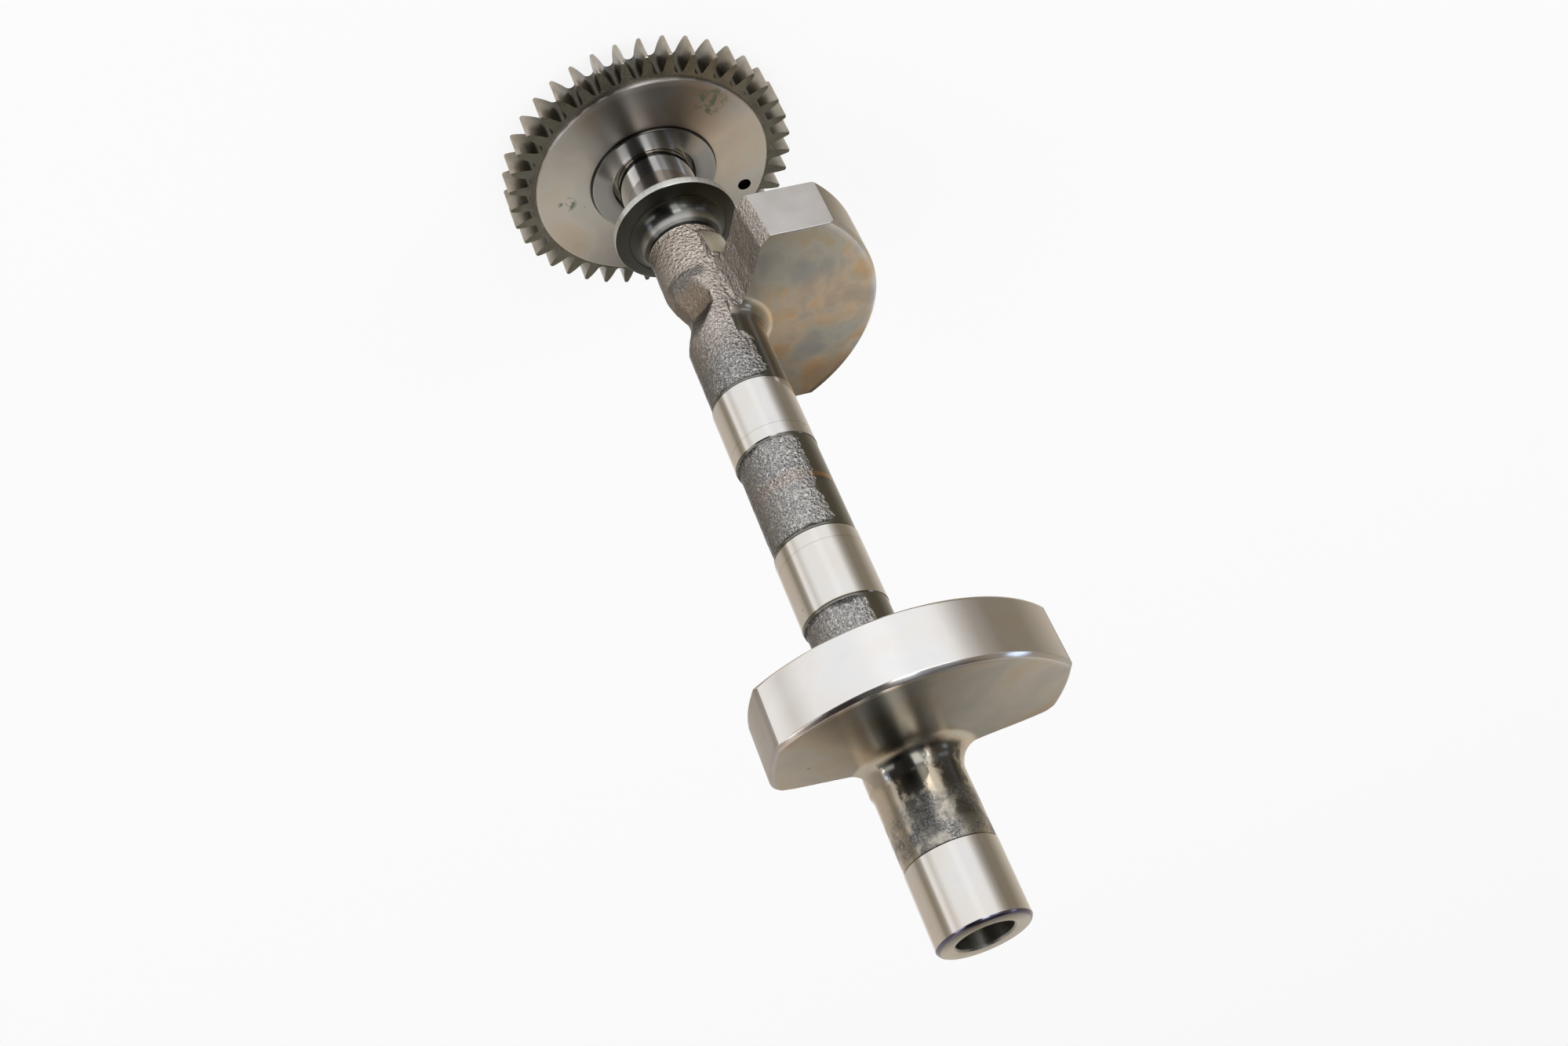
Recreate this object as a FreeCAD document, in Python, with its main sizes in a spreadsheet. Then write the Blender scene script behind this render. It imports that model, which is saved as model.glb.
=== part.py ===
import FreeCAD, Part
import os
import Sketcher

# Balance shaft of a car engine: one forged and turned shaft with two
# counterweights a quarter turn apart, and a spur gear pressed on its flange.
# The shaft stands on the gear's rear face. +Z runs up the shaft's axis and
# +X points at the lower counterweight. The origin is the centre of the foot.

doc = FreeCAD.newDocument("balance_shaft")

# Driving sizes, millimetres and degrees
SIZES = {
    # Gear
    "tooth_count": 39,
    "tip_diameter": 101.2,
    "root_diameter": 86.2,
    "root_radius": 1.75,
    "tip_land": 0.6,
    "tip_bevel": 0.5,
    "tip_bevel_width": 0.35,
    "gear_width": 10.0,
    "tooth_chamfer": 0.5,
    "web_diameter": 83.0,
    "web_rise": 1.4,
    "web_chamfer": 0.5,
    "gear_turn": -3.1,
    "gear_fit": 0.02,
    "timing_hole_diameter": 4.8,
    "timing_hole_reach": 35.3,
    "timing_hole_turn": -18.3,
    # Flange, thrust journal and collar
    "flange_diameter": 44.8,
    "flange_rise": 1.2,
    "flange_chamfer": 0.5,
    "relief_diameter": 29.5,
    "relief_depth": 1.6,
    "relief_undercut": 0.5,
    "relief_overrun": 0.6,
    "journal_diameter": 26.4,
    "journal_chamfer": 0.4,
    "journal_1_length": 22.6,
    "collar_diameter": 42.8,
    "collar_rim": 3.0,
    "collar_chamfer": 0.4,
    "collar_slope": 1.6,
    "collar_throat_diameter": 32.0,
    "collar_back": 7.2,
    "neck_1_diameter": 24.8,
    "neck_1_length": 2.6,
    "neck_1_flare": 6.0,
    "neck_1_flare_diameter": 28.2,
    "neck_1_shoulder_diameter": 31.0,
    # Stations along the shaft
    "weight_1_height": 30.0,
    "weight_width": 18.0,
    "journal_2_height": 30.7,
    "journal_2_length": 23.1,
    "journal_3_height": 34.4,
    "journal_3_length": 24.5,
    "weight_2_height": 30.2,
    "journal_4_height": 27.3,
    "journal_4_length": 22.1,
    "end_chamfer": 0.9,
    "end_chamfer_length": 2.0,
    "bore_diameter": 16.0,
    "bore_depth": 24.0,
    "bore_chamfer": 0.5,
    # Shank between the journals, turned and as forged
    "shank_diameter": 26.0,
    "forged_diameter": 25.1,
    "forged_half_diameter": 25.7,
    "forged_half_offset": 0.47,
    "parting_turn": 96.5,
    "turning_stock": 1.0,
    "fillet_radius": 4.5,
    # Counterweights
    "weight_1_radius": 53.4,
    "weight_2_radius": 52.6,
    "weight_half_span": 40.2,
    "weight_2_angle": 90.0,
    "back_1_middle": 9.6,
    "back_1_outer": 11.4,
    "back_2_middle": 7.9,
    "back_2_outer": 10.2,
    "back_inner": 5.2,
    "back_middle_reach": 24.0,
    "back_outer_reach": 36.5,
    "back_1_edge": 14.1,
    "back_2_edge": 15.0,
    "rim_chamfer": 0.8,
    # Waist in the forging opposite each counterweight
    "waist_flat": 8.5,
    "waist_turn": 36.0,
    "waist_lead": 6.5,
    "waist_lead_mid": 9.5,
    "waist_lead_depth": 1.8,
    "waist_run_in": 6.5,
    "waist_floor": 4.0,
    "waist_run_out": 10.5,
    # Pad left standing on the neck by the forging
    "pad_turn": 60.0,
    "pad_width": 12.5,
    "pad_height": 11.5,
    "pad_reach": 14.6,
    "pad_start": 3.5,
}

sizes = doc.addObject("Spreadsheet::Sheet", "sizes")
for row, (name, value) in enumerate(SIZES.items(), start=1):
    sizes.set("A%d" % row, name)
    sizes.set("B%d" % row, str(value))
    sizes.setAlias("B%d" % row, name)
doc.recompute()


def value_of(expression):
    """Number that an expression on the sheet gives."""
    result = sizes.evalExpression(expression)
    return float(getattr(result, "Value", result))


def add(*parts):
    """Sum of named sizes as one expression."""
    return " + ".join("sizes." + part for part in parts)


def bind(item, **expressions):
    """Tie properties of an object to the sheet."""
    for prop, expression in expressions.items():
        item.setExpression(prop.replace("__", "."), expression)


# Stations: heights above the foot, each one step up from the last
FLANGE_FACE = add("gear_width", "web_rise", "flange_rise")
COLLAR_REAR = FLANGE_FACE + " + " + add("journal_1_length")
COLLAR_FRONT = COLLAR_REAR + " + " + add("collar_rim")
NECK_1_START = COLLAR_FRONT + " + " + add("collar_back")
NECK_1_END = NECK_1_START + " + " + add("neck_1_length")
NECK_1_FLARE_END = NECK_1_END + " + " + add("neck_1_flare")
WEIGHT_1_REAR = COLLAR_FRONT + " + " + add("weight_1_height")
WEIGHT_1_FRONT = WEIGHT_1_REAR + " + " + add("weight_width")
JOURNAL_2_START = WEIGHT_1_FRONT + " + " + add("journal_2_height")
JOURNAL_2_END = JOURNAL_2_START + " + " + add("journal_2_length")
JOURNAL_3_START = JOURNAL_2_END + " + " + add("journal_3_height")
JOURNAL_3_END = JOURNAL_3_START + " + " + add("journal_3_length")
WEIGHT_2_REAR = JOURNAL_3_END + " + " + add("weight_2_height")
WEIGHT_2_FRONT = WEIGHT_2_REAR + " + " + add("weight_width")
JOURNAL_4_START = WEIGHT_2_FRONT + " + " + add("journal_4_height")
SHAFT_END = JOURNAL_4_START + " + " + add("journal_4_length")


def origin_plane(body, role):
    """Base plane of a body, found by its role."""
    for feature in body.Origin.OriginFeatures:
        if feature.Role == role:
            return feature
    raise ValueError("no plane " + role)


def new_body(name):
    """Empty body whose label names it."""
    body = doc.addObject("PartDesign::Body", name)
    body.Label = name
    return body


def set_size(sketch, constraint, expression):
    """Add a measured constraint and tie it to the sheet."""
    number = sketch.addConstraint(constraint)
    sketch.setExpression("Constraints[%d]" % number, expression)


def outline(body, name, role, corners):
    """Closed outline of straight lines, each corner tied to the sheet."""
    sketch = body.newObject("Sketcher::SketchObject", name)
    sketch.AttachmentSupport = [(origin_plane(body, role), "")]
    sketch.MapMode = "FlatFace"
    places = [FreeCAD.Vector(value_of(x), value_of(y), 0) for x, y in corners]
    count = len(places)
    for i in range(count):
        sketch.addGeometry(Part.LineSegment(places[i], places[(i + 1) % count]), False)
    for i in range(count):
        sketch.addConstraint(Sketcher.Constraint("Coincident", i, 2, (i + 1) % count, 1))
    for i, (x, y) in enumerate(corners):
        set_size(sketch, Sketcher.Constraint("DistanceX", -1, 1, i, 1, places[i].x), x)
        set_size(sketch, Sketcher.Constraint("DistanceY", -1, 1, i, 1, places[i].y), y)
    return sketch


def circle(body, name, role, radius, x="0", y="0"):
    """Circle tied to the sheet by its radius and centre."""
    sketch = body.newObject("Sketcher::SketchObject", name)
    sketch.AttachmentSupport = [(origin_plane(body, role), "")]
    sketch.MapMode = "FlatFace"
    centre = FreeCAD.Vector(value_of(x), value_of(y), 0)
    up = FreeCAD.Vector(0, 0, 1)
    sketch.addGeometry(Part.Circle(centre, up, value_of(radius)), False)
    set_size(sketch, Sketcher.Constraint("Radius", 0, value_of(radius)), radius)
    set_size(sketch, Sketcher.Constraint("DistanceX", -1, 1, 0, 3, centre.x), x)
    set_size(sketch, Sketcher.Constraint("DistanceY", -1, 1, 0, 3, centre.y), y)
    return sketch


def revolve(body, name, sketch):
    """Full turn of an outline about the shaft's axis."""
    turned = body.newObject("PartDesign::Revolution", name)
    turned.Profile = sketch
    turned.ReferenceAxis = (sketch, ["V_Axis"])
    turned.Angle = 360.0
    return turned


def pocket_through(body, name, sketch):
    """Cut an outline right through a body, both ways."""
    cut = body.newObject("PartDesign::Pocket", name)
    cut.Profile = sketch
    cut.Type = "ThroughAll"
    cut.Midplane = True
    before = cut.BaseFeature.Shape.Volume
    doc.recompute()
    if cut.Shape.Volume >= before:
        raise ValueError(name + " cuts nothing")
    return cut


def ring_edges(shape, radius, height):
    """Names of the circular edges of one radius at one height."""
    names = []
    for i, edge in enumerate(shape.Edges, start=1):
        curve = edge.Curve
        if not isinstance(curve, Part.Circle):
            continue
        if abs(curve.Radius - radius) < 1e-4 and abs(curve.Center.z - height) < 1e-4:
            names.append("Edge%d" % i)
    return names


# One tooth gap: straight flanks that run into a round root, open at the tips
def gap_outline(body):
    pitch_half = "(180deg / sizes.tooth_count)"
    tip = "sizes.tip_diameter / 2"
    shoulder = "(" + tip + " - sizes.tip_bevel)"
    land = "sizes.tip_land / 2"
    thick = "(" + land + " + sizes.tip_bevel_width)"
    corner = (
        shoulder + " * sin" + pitch_half + " - " + thick + " * cos" + pitch_half,
        shoulder + " * cos" + pitch_half + " + " + thick + " * sin" + pitch_half,
    )
    mouth = (
        tip + " * sin" + pitch_half + " - " + land + " * cos" + pitch_half,
        tip + " * cos" + pitch_half + " + " + land + " * sin" + pitch_half,
    )
    open_air = (mouth[0], mouth[1] + " + sizes.tip_bevel")
    side = [open_air, mouth, corner]
    root = "sizes.root_radius"
    centre = "sizes.root_diameter / 2 + " + root
    sketch = body.newObject("Sketcher::SketchObject", "gap_section")
    sketch.AttachmentSupport = [(origin_plane(body, "XY_Plane"), "")]
    sketch.MapMode = "FlatFace"

    # Corners from the left round root to the right, then the arc between them
    radius = value_of(root)
    height = value_of(centre)
    places = [FreeCAD.Vector(-value_of(x), value_of(y), 0) for x, y in reversed(side)]
    places += [FreeCAD.Vector(value_of(x), value_of(y), 0) for x, y in side]
    low_left = FreeCAD.Vector(-radius, height, 0)
    low_right = FreeCAD.Vector(radius, height, 0)
    chain = [low_left] + places + [low_right]
    for start, end in zip(chain, chain[1:]):
        sketch.addGeometry(Part.LineSegment(start, end), False)
    last = len(chain) - 2
    bottom = FreeCAD.Vector(0, height - radius, 0)
    arc = sketch.addGeometry(Part.Arc(low_right, bottom, low_left), False)
    for i in range(last):
        sketch.addConstraint(Sketcher.Constraint("Coincident", i, 2, i + 1, 1))
    # The arc runs counter-clockwise from the left root to the right one
    sketch.addConstraint(Sketcher.Constraint("Tangent", 0, 1, arc, 1))
    sketch.addConstraint(Sketcher.Constraint("Tangent", last, 2, arc, 2))
    set_size(sketch, Sketcher.Constraint("Radius", arc, radius), root)
    set_size(sketch, Sketcher.Constraint("DistanceX", -1, 1, arc, 3, 0), "0")
    set_size(sketch, Sketcher.Constraint("DistanceY", -1, 1, arc, 3, height), centre)
    signs = ["-1 * "] * 3 + [""] * 3
    for i, (sign, (x, y)) in enumerate(zip(signs, list(reversed(side)) + side)):
        place = places[i]
        across = Sketcher.Constraint("DistanceX", -1, 1, i, 2, place.x)
        upward = Sketcher.Constraint("DistanceY", -1, 1, i, 2, place.y)
        set_size(sketch, across, sign + "(" + x + ")")
        set_size(sketch, upward, y)
    return sketch


# Gear: turned blank, tooth gaps, bore for the flange and a timing hole
def make_gear():
    body = new_body("drive_gear")
    tip = "sizes.tip_diameter / 2"
    web = "sizes.web_diameter / 2"
    bore = "(sizes.flange_diameter + sizes.gear_fit) / 2"
    width = "sizes.gear_width"
    face = add("gear_width", "web_rise")
    nick = "sizes.tooth_chamfer"
    blank = outline(body, "gear_section", "XZ_Plane", [
        (bore, "0"),
        (tip + " - " + nick, "0"),
        (tip, nick),
        (tip, width + " - " + nick),
        (tip + " - " + nick, width),
        (web, width),
        (web, face + " - sizes.web_chamfer"),
        (web + " - sizes.web_chamfer", face),
        (bore, face),
    ])
    revolve(body, "gear_blank", blank)
    doc.recompute()

    gap = gap_outline(body)
    first_gap = pocket_through(body, "tooth_gap", gap)
    gaps = body.newObject("PartDesign::PolarPattern", "tooth_gaps")
    gaps.Originals = [first_gap]
    gaps.Axis = (gap, ["N_Axis"])
    gaps.Angle = 360.0
    gaps.setExpression("Occurrences", "sizes.tooth_count")
    body.Tip = gaps
    doc.recompute()

    # The hole's angle is counted in the shaft's frame, so the gear's own turn comes off
    turn = "((sizes.timing_hole_turn - sizes.gear_turn) * 1deg)"
    hole = circle(
        body, "hole_section", "XY_Plane", "sizes.timing_hole_diameter / 2",
        "sizes.timing_hole_reach * cos" + turn, "sizes.timing_hole_reach * sin" + turn,
    )
    body.Tip = pocket_through(body, "timing_hole", hole)
    body.setExpression("Placement.Rotation.Angle", "sizes.gear_turn * 1deg")
    return body


# Turned form: everything that the lathe and the grinder leave standing
def make_turned_form():
    body = new_body("turned_form")
    flange = "sizes.flange_diameter / 2"
    journal = "sizes.journal_diameter / 2"
    undercut = journal + " - sizes.relief_undercut"
    relief = "sizes.relief_diameter / 2"
    collar = "sizes.collar_diameter / 2"
    throat = "sizes.collar_throat_diameter / 2"
    neck = "sizes.neck_1_diameter / 2"
    flare = "sizes.neck_1_flare_diameter / 2"
    shoulder = "sizes.neck_1_shoulder_diameter / 2"
    shank = "sizes.shank_diameter / 2"
    rim_1 = "sizes.weight_1_radius"
    rim_2 = "sizes.weight_2_radius"
    trim = "sizes.flange_chamfer"
    nip = "sizes.journal_chamfer"
    edge = "sizes.collar_chamfer"
    bevel = "sizes.rim_chamfer"
    corners = [
        ("0", "0"),
        (flange + " - " + trim, "0"),
        (flange, trim),
        (flange, FLANGE_FACE + " - " + trim),
        (flange + " - " + trim, FLANGE_FACE),
        (relief, FLANGE_FACE),
        (relief, FLANGE_FACE + " - sizes.relief_depth"),
        (undercut, FLANGE_FACE + " - sizes.relief_depth"),
        (undercut, FLANGE_FACE + " + sizes.relief_overrun"),
        (journal, FLANGE_FACE + " + sizes.relief_overrun + sizes.relief_undercut"),
        (journal, COLLAR_REAR),
        (collar + " - " + edge, COLLAR_REAR),
        (collar, COLLAR_REAR + " + " + edge),
        (collar, COLLAR_FRONT + " - " + edge),
        (collar + " - " + edge, COLLAR_FRONT),
        (throat, COLLAR_FRONT + " + sizes.collar_slope"),
        (neck, NECK_1_START),
        (neck, NECK_1_END),
        (flare, NECK_1_FLARE_END),
        (shoulder, WEIGHT_1_REAR),
        (rim_1 + " - " + bevel, WEIGHT_1_REAR),
        (rim_1, WEIGHT_1_REAR + " + " + bevel),
        (rim_1, WEIGHT_1_FRONT + " - " + bevel),
        (rim_1 + " - " + bevel, WEIGHT_1_FRONT),
        (shank, WEIGHT_1_FRONT),
    ]
    for start, end in ((JOURNAL_2_START, JOURNAL_2_END), (JOURNAL_3_START, JOURNAL_3_END)):
        corners += [
            (shank, start),
            (journal + " - " + nip, start),
            (journal, start + " + " + nip),
            (journal, end + " - " + nip),
            (journal + " - " + nip, end),
            (shank, end),
        ]
    corners += [
        (shank, WEIGHT_2_REAR),
        (rim_2 + " - " + bevel, WEIGHT_2_REAR),
        (rim_2, WEIGHT_2_REAR + " + " + bevel),
        (rim_2, WEIGHT_2_FRONT + " - " + bevel),
        (rim_2 + " - " + bevel, WEIGHT_2_FRONT),
        (shank, WEIGHT_2_FRONT),
        (shank, JOURNAL_4_START),
        (journal + " - " + nip, JOURNAL_4_START),
        (journal, JOURNAL_4_START + " + " + nip),
        (journal, SHAFT_END + " - sizes.end_chamfer_length"),
        (journal + " - sizes.end_chamfer", SHAFT_END),
        ("0", SHAFT_END),
    ]
    turning = revolve(body, "turning", outline(body, "turned_section", "XZ_Plane", corners))
    doc.recompute()

    # Fillets where the necks run out into the machined faces
    roots = []
    for height in (WEIGHT_1_FRONT, WEIGHT_2_REAR, WEIGHT_2_FRONT):
        roots += ring_edges(turning.Shape, value_of(shank), value_of(height))
    roots += ring_edges(turning.Shape, value_of(shoulder), value_of(WEIGHT_1_REAR))
    fillet = body.newObject("PartDesign::Fillet", "neck_fillets")
    fillet.Base = (turning, roots)
    fillet.setExpression("Radius", "sizes.fillet_radius")
    body.Tip = fillet
    return body


def cylinder(name, radius, base, height):
    """Upright cylinder on the shaft's axis."""
    item = doc.addObject("Part::Cylinder", name)
    bind(item, Radius=radius, Height=height, Placement__Base__z=base)
    return item


# One counterweight block: wider and longer than the turned form lets stand
def make_weight(name, rear, radius, back_middle, back_outer, back_edge, turn):
    body = new_body(name)
    middle = "sizes.back_middle_reach"
    outer = "sizes.back_outer_reach"
    span = "sizes.weight_half_span"
    inner_reach = "sizes.forged_diameter / 2"
    top = radius + " + sizes.turning_stock"
    half = [
        ("sizes.back_inner", inner_reach),
        (back_middle, middle),
        (back_outer, outer),
        (back_edge, span),
        (top, span),
    ]
    mirrored = [(x, "-(" + y + ")") for x, y in reversed(half)]
    stock = "sizes.turning_stock"
    section = outline(body, name + "_section", "XY_Plane", half + mirrored)
    section.setExpression("AttachmentOffset.Base.z", rear + " - " + stock)
    pad = body.newObject("PartDesign::Pad", name + "_pad")
    pad.Profile = section
    pad.setExpression("Length", "sizes.weight_width + 2 * " + stock)
    body.setExpression("Placement.Rotation.Angle", turn)
    return body


# Waist: three long cuts round the side of the shank away from a counterweight
def make_waist(name, rear, turn):
    far = "sizes.forged_diameter + sizes.turning_stock"
    surface = "sizes.forged_diameter / 2 + 0.05"
    cuts = []
    body_floor = "(" + rear + ") + sizes.waist_lead_mid"
    for step in (-1, 0, 1):
        body = new_body("%s_cut_%d" % (name, step + 2))
        lead = "(" + rear + ") - sizes.waist_lead"
        middle = "(" + rear + ") + sizes.waist_lead_mid - sizes.waist_run_in"
        end = body_floor + " + sizes.waist_floor + sizes.waist_run_out"
        section = outline(body, body.Name + "_section", "XZ_Plane", [
            (surface, lead),
            (surface + " - sizes.waist_lead_depth", middle),
            ("sizes.waist_flat", body_floor),
            ("sizes.waist_flat", body_floor + " + sizes.waist_floor"),
            (surface, end),
            (far, end),
            (far, lead),
        ])
        cut = body.newObject("PartDesign::Pad", body.Name + "_pad")
        cut.Profile = section
        cut.Midplane = True
        cut.setExpression("Length", "2 * sizes.forged_diameter")
        body.setExpression(
            "Placement.Rotation.Angle", "(%s) + %d * sizes.waist_turn * 1deg" % (turn, step)
        )
        cuts.append(body)
    return cuts


# Forged blank: shank in two halves that meet at the parting line, waists cut
# into the first half, stock for the turned parts, two blocks and a small pad
def make_blank():
    shank_length = "(" + SHAFT_END + ") - (" + COLLAR_FRONT + ")"
    left = cylinder("forged_shank", "sizes.forged_diameter / 2", COLLAR_FRONT, shank_length)
    waists = make_waist("waist_1", WEIGHT_1_REAR, "180deg")
    waists += make_waist("waist_2", WEIGHT_2_REAR, "180deg + sizes.weight_2_angle * 1deg")
    waisted = doc.addObject("Part::Cut", "waisted_shank")
    waisted.Base = left
    tools = doc.addObject("Part::MultiFuse", "waist_cuts")
    tools.Shapes = waists
    waisted.Tool = tools

    right = cylinder("forged_half", "sizes.forged_half_diameter / 2", COLLAR_FRONT, shank_length)
    right.Angle = 180.0
    right.setExpression("Placement.Base.x", "sizes.forged_half_offset")
    right.setExpression("Placement.Rotation.Angle", "(sizes.parting_turn - 180) * 1deg")

    stock = "sizes.turning_stock"
    head_radius = "sizes.flange_diameter / 2 + " + stock
    journal_radius = "sizes.journal_diameter / 2 + " + stock
    pieces = [
        waisted,
        right,
        cylinder("head_stock", head_radius, "-" + stock, NECK_1_END + " + " + stock),
        cylinder("journal_2_stock", journal_radius, JOURNAL_2_START, "sizes.journal_2_length"),
        cylinder("journal_3_stock", journal_radius, JOURNAL_3_START, "sizes.journal_3_length"),
        cylinder(
            "journal_4_stock", journal_radius, JOURNAL_4_START,
            "sizes.journal_4_length + " + stock,
        ),
        make_weight(
            "weight_1", WEIGHT_1_REAR, "sizes.weight_1_radius", "sizes.back_1_middle",
            "sizes.back_1_outer", "sizes.back_1_edge", "0deg",
        ),
        make_weight(
            "weight_2", WEIGHT_2_REAR, "sizes.weight_2_radius", "sizes.back_2_middle",
            "sizes.back_2_outer", "sizes.back_2_edge", "sizes.weight_2_angle * 1deg",
        ),
    ]

    pad = doc.addObject("Part::Box", "neck_pad")
    turn = "(sizes.pad_turn * 1deg)"
    bind(
        pad,
        Length="sizes.pad_reach",
        Width="sizes.pad_width",
        Height="sizes.pad_height",
        Placement__Base__x="sizes.pad_width / 2 * sin" + turn,
        Placement__Base__y="-sizes.pad_width / 2 * cos" + turn,
        Placement__Base__z=NECK_1_END + " + sizes.pad_start",
        Placement__Rotation__Angle="sizes.pad_turn * 1deg",
    )
    pieces.append(pad)

    blank = doc.addObject("Part::MultiFuse", "forged_blank")
    blank.Shapes = pieces
    return blank


# Shaft: what the blank and the turned form share, bored at the upper end
def make_shaft():
    blank = make_blank()
    turned = make_turned_form()
    shared = doc.addObject("Part::MultiCommon", "machined_blank")
    shared.Shapes = [blank, turned]
    bore = "sizes.bore_diameter / 2"
    well = cylinder("end_bore", bore, "(" + SHAFT_END + ") - sizes.bore_depth", "sizes.bore_depth")
    mouth = doc.addObject("Part::Cone", "end_bore_mouth")
    bind(
        mouth,
        Radius1=bore,
        Radius2=bore + " + sizes.bore_chamfer",
        Height="sizes.bore_chamfer",
        Placement__Base__z="(" + SHAFT_END + ") - sizes.bore_chamfer",
    )
    hollow = doc.addObject("Part::MultiFuse", "bore_form")
    hollow.Shapes = [well, mouth]
    shaft = doc.addObject("Part::Cut", "balance_shaft")
    shaft.Base = shared
    shaft.Tool = hollow
    shaft.Refine = True
    shaft.Label = "balance_shaft"
    return shaft


pieces = [make_shaft(), make_gear()]
doc.recompute()

# Nothing is written unless every object came out sound
for item in doc.Objects:
    if "Invalid" in item.State or "Error" in item.State:
        raise ValueError("%s is %s" % (item.Name, item.State))
for piece in pieces:
    shape = piece.Shape
    if shape.isNull() or not shape.isValid():
        raise ValueError(piece.Label + " has no valid shape")
    if len(shape.Solids) != 1:
        raise ValueError("%s has %d solids" % (piece.Label, len(shape.Solids)))

os.makedirs("parts", exist_ok=True)
for piece in pieces:
    piece.Shape.exportStep("parts/%s.step" % piece.Label)
    box = piece.Shape.BoundBox
    print("%s: %.1f x %.1f x %.1f mm, %.1f cm3" % (
        piece.Label, box.XLength, box.YLength, box.ZLength, piece.Shape.Volume / 1000.0,
    ))
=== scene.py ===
# %% [markdown]
# # A balance shaft and its gear
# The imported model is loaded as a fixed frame. Every piece made here stands
# for one of its solids, in metres, at the same place and with the same form.

# %% Load the frame
import math
import time
import bpy
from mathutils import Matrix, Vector


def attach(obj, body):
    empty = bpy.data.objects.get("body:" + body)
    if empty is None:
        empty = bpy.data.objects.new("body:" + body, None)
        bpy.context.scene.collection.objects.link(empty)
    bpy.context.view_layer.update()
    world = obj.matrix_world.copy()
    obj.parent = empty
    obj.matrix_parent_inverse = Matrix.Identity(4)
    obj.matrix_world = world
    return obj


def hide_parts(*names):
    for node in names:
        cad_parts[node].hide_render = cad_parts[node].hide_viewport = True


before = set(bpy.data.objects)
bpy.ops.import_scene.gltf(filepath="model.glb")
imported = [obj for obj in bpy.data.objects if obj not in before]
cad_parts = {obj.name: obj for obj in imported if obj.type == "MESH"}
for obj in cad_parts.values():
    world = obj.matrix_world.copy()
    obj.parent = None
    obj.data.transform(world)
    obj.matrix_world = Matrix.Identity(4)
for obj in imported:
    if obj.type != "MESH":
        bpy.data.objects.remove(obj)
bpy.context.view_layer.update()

started = time.time()
MM = 0.001
print("solids to dress:", sorted(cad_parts))

# %% [markdown]
# ## Working by hand, in code
# Blender's operators act on whatever is selected. These helpers do what a hand
# would do with the mouse: choose a piece, open it for editing, apply a
# modifier, and put a piece's place and turn into its mesh.

# %% Selection helpers
def select_only(*things):
    """Leave only these objects selected, the first one active."""
    for other in bpy.context.selected_objects:
        other.select_set(False)
    for thing in things:
        thing.select_set(True)
    bpy.context.view_layer.objects.active = things[0]


def edit(thing, choice="SELECT"):
    """Open one object in edit mode with all of it, or nothing, selected."""
    select_only(thing)
    bpy.ops.object.mode_set(mode="EDIT")
    bpy.ops.mesh.select_all(action=choice)


def leave_edit():
    bpy.ops.object.mode_set(mode="OBJECT")


def apply_modifier(thing, kind, **settings):
    """Add a modifier, set it and apply it at once."""
    select_only(thing)
    modifier = thing.modifiers.new(kind.lower(), kind)
    for name, value in settings.items():
        setattr(modifier, name, value)
    bpy.ops.object.modifier_apply(modifier=modifier.name)


def settle(thing, name):
    """Name a piece and put its place, turn and size into its mesh."""
    thing.name = name
    thing.data.name = name
    select_only(thing)
    bpy.ops.object.transform_apply(location=True, rotation=True, scale=True)
    return thing


def join(things, name):
    select_only(*things)
    bpy.ops.object.join()
    return settle(things[0], name)


def face_outward(thing):
    edit(thing)
    bpy.ops.mesh.normals_make_consistent(inside=False)
    leave_edit()


def report(thing):
    """Say how many triangles a piece has and how long the script has run."""
    count = sum(len(face.vertices) - 2 for face in thing.data.polygons)
    print(f"{thing.name}: {count} triangles after {time.time() - started:.1f} s")

# %% [markdown]
# ## A lathe made of rings
# A turned part is a profile carried round an axis. The profile is a list of
# radius and height. A filled circle is extruded and resized once for each
# point, so the rings stay clean and every edge of the profile stays an edge.

# %% Turn a profile
def turn(name, profile, segments):
    """Closed body of revolution from (radius, height) points in millimetres."""
    radius, height = profile[0]
    bpy.ops.mesh.primitive_circle_add(
        vertices=segments, radius=radius * MM, fill_type="NGON",
        location=(0, 0, height * MM),
    )
    piece = settle(bpy.context.object, name)
    edit(piece)
    for (radius, height), (new_radius, new_height) in zip(profile, profile[1:]):
        step = (0, 0, (new_height - height) * MM)
        bpy.ops.mesh.extrude_region_move(TRANSFORM_OT_translate={"value": step})
        grow = new_radius / radius
        bpy.ops.transform.resize(
            value=(grow, grow, 1), center_override=(0, 0, new_height * MM),
        )
    leave_edit()
    face_outward(piece)
    return piece


def arc(centre, radius, start, end, steps):
    """Points of an arc in the profile's plane, angles in degrees from outwards."""
    points = []
    for i in range(steps + 1):
        angle = math.radians(start + (end - start) * i / steps)
        points.append((
            centre[0] + radius * math.cos(angle),
            centre[1] + radius * math.sin(angle),
        ))
    return points

# %% [markdown]
# ## Stations along the shaft
# All sizes were measured from the photo. Heights are millimetres above the
# foot, the gear's rear face. They are named once, so that turning, forging and
# finishes agree.

# %% Heights and radii
FLANGE_FACE = 12.6
JOURNAL_R = 13.2
SHANK_R = 13.0
COLLAR_REAR, COLLAR_FRONT = 35.2, 38.2
WEIGHT_1 = (68.2, 87.0)
JOURNAL_2 = (116.9, 140.0)
JOURNAL_3 = (174.4, 198.9)
WEIGHT_2 = (229.1, 247.6)
JOURNAL_4_START = 274.4
SHAFT_END = 296.5
RIM_1, RIM_2 = 53.4, 52.56
ROOT_FILLET, NECK_FILLET = 4.5, 6.5
FOOT_R = 15.5
print("shaft of", SHAFT_END, "mm, weights at", WEIGHT_1, "and", WEIGHT_2)

# %% [markdown]
# ## Bands, rims and the bored end
# Three shapes come back along the profile: a ground bearing band, the rim of a
# counterweight and the bored free end. Their bevels are under a millimetre,
# but each one draws a bright line in the photo.

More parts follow.
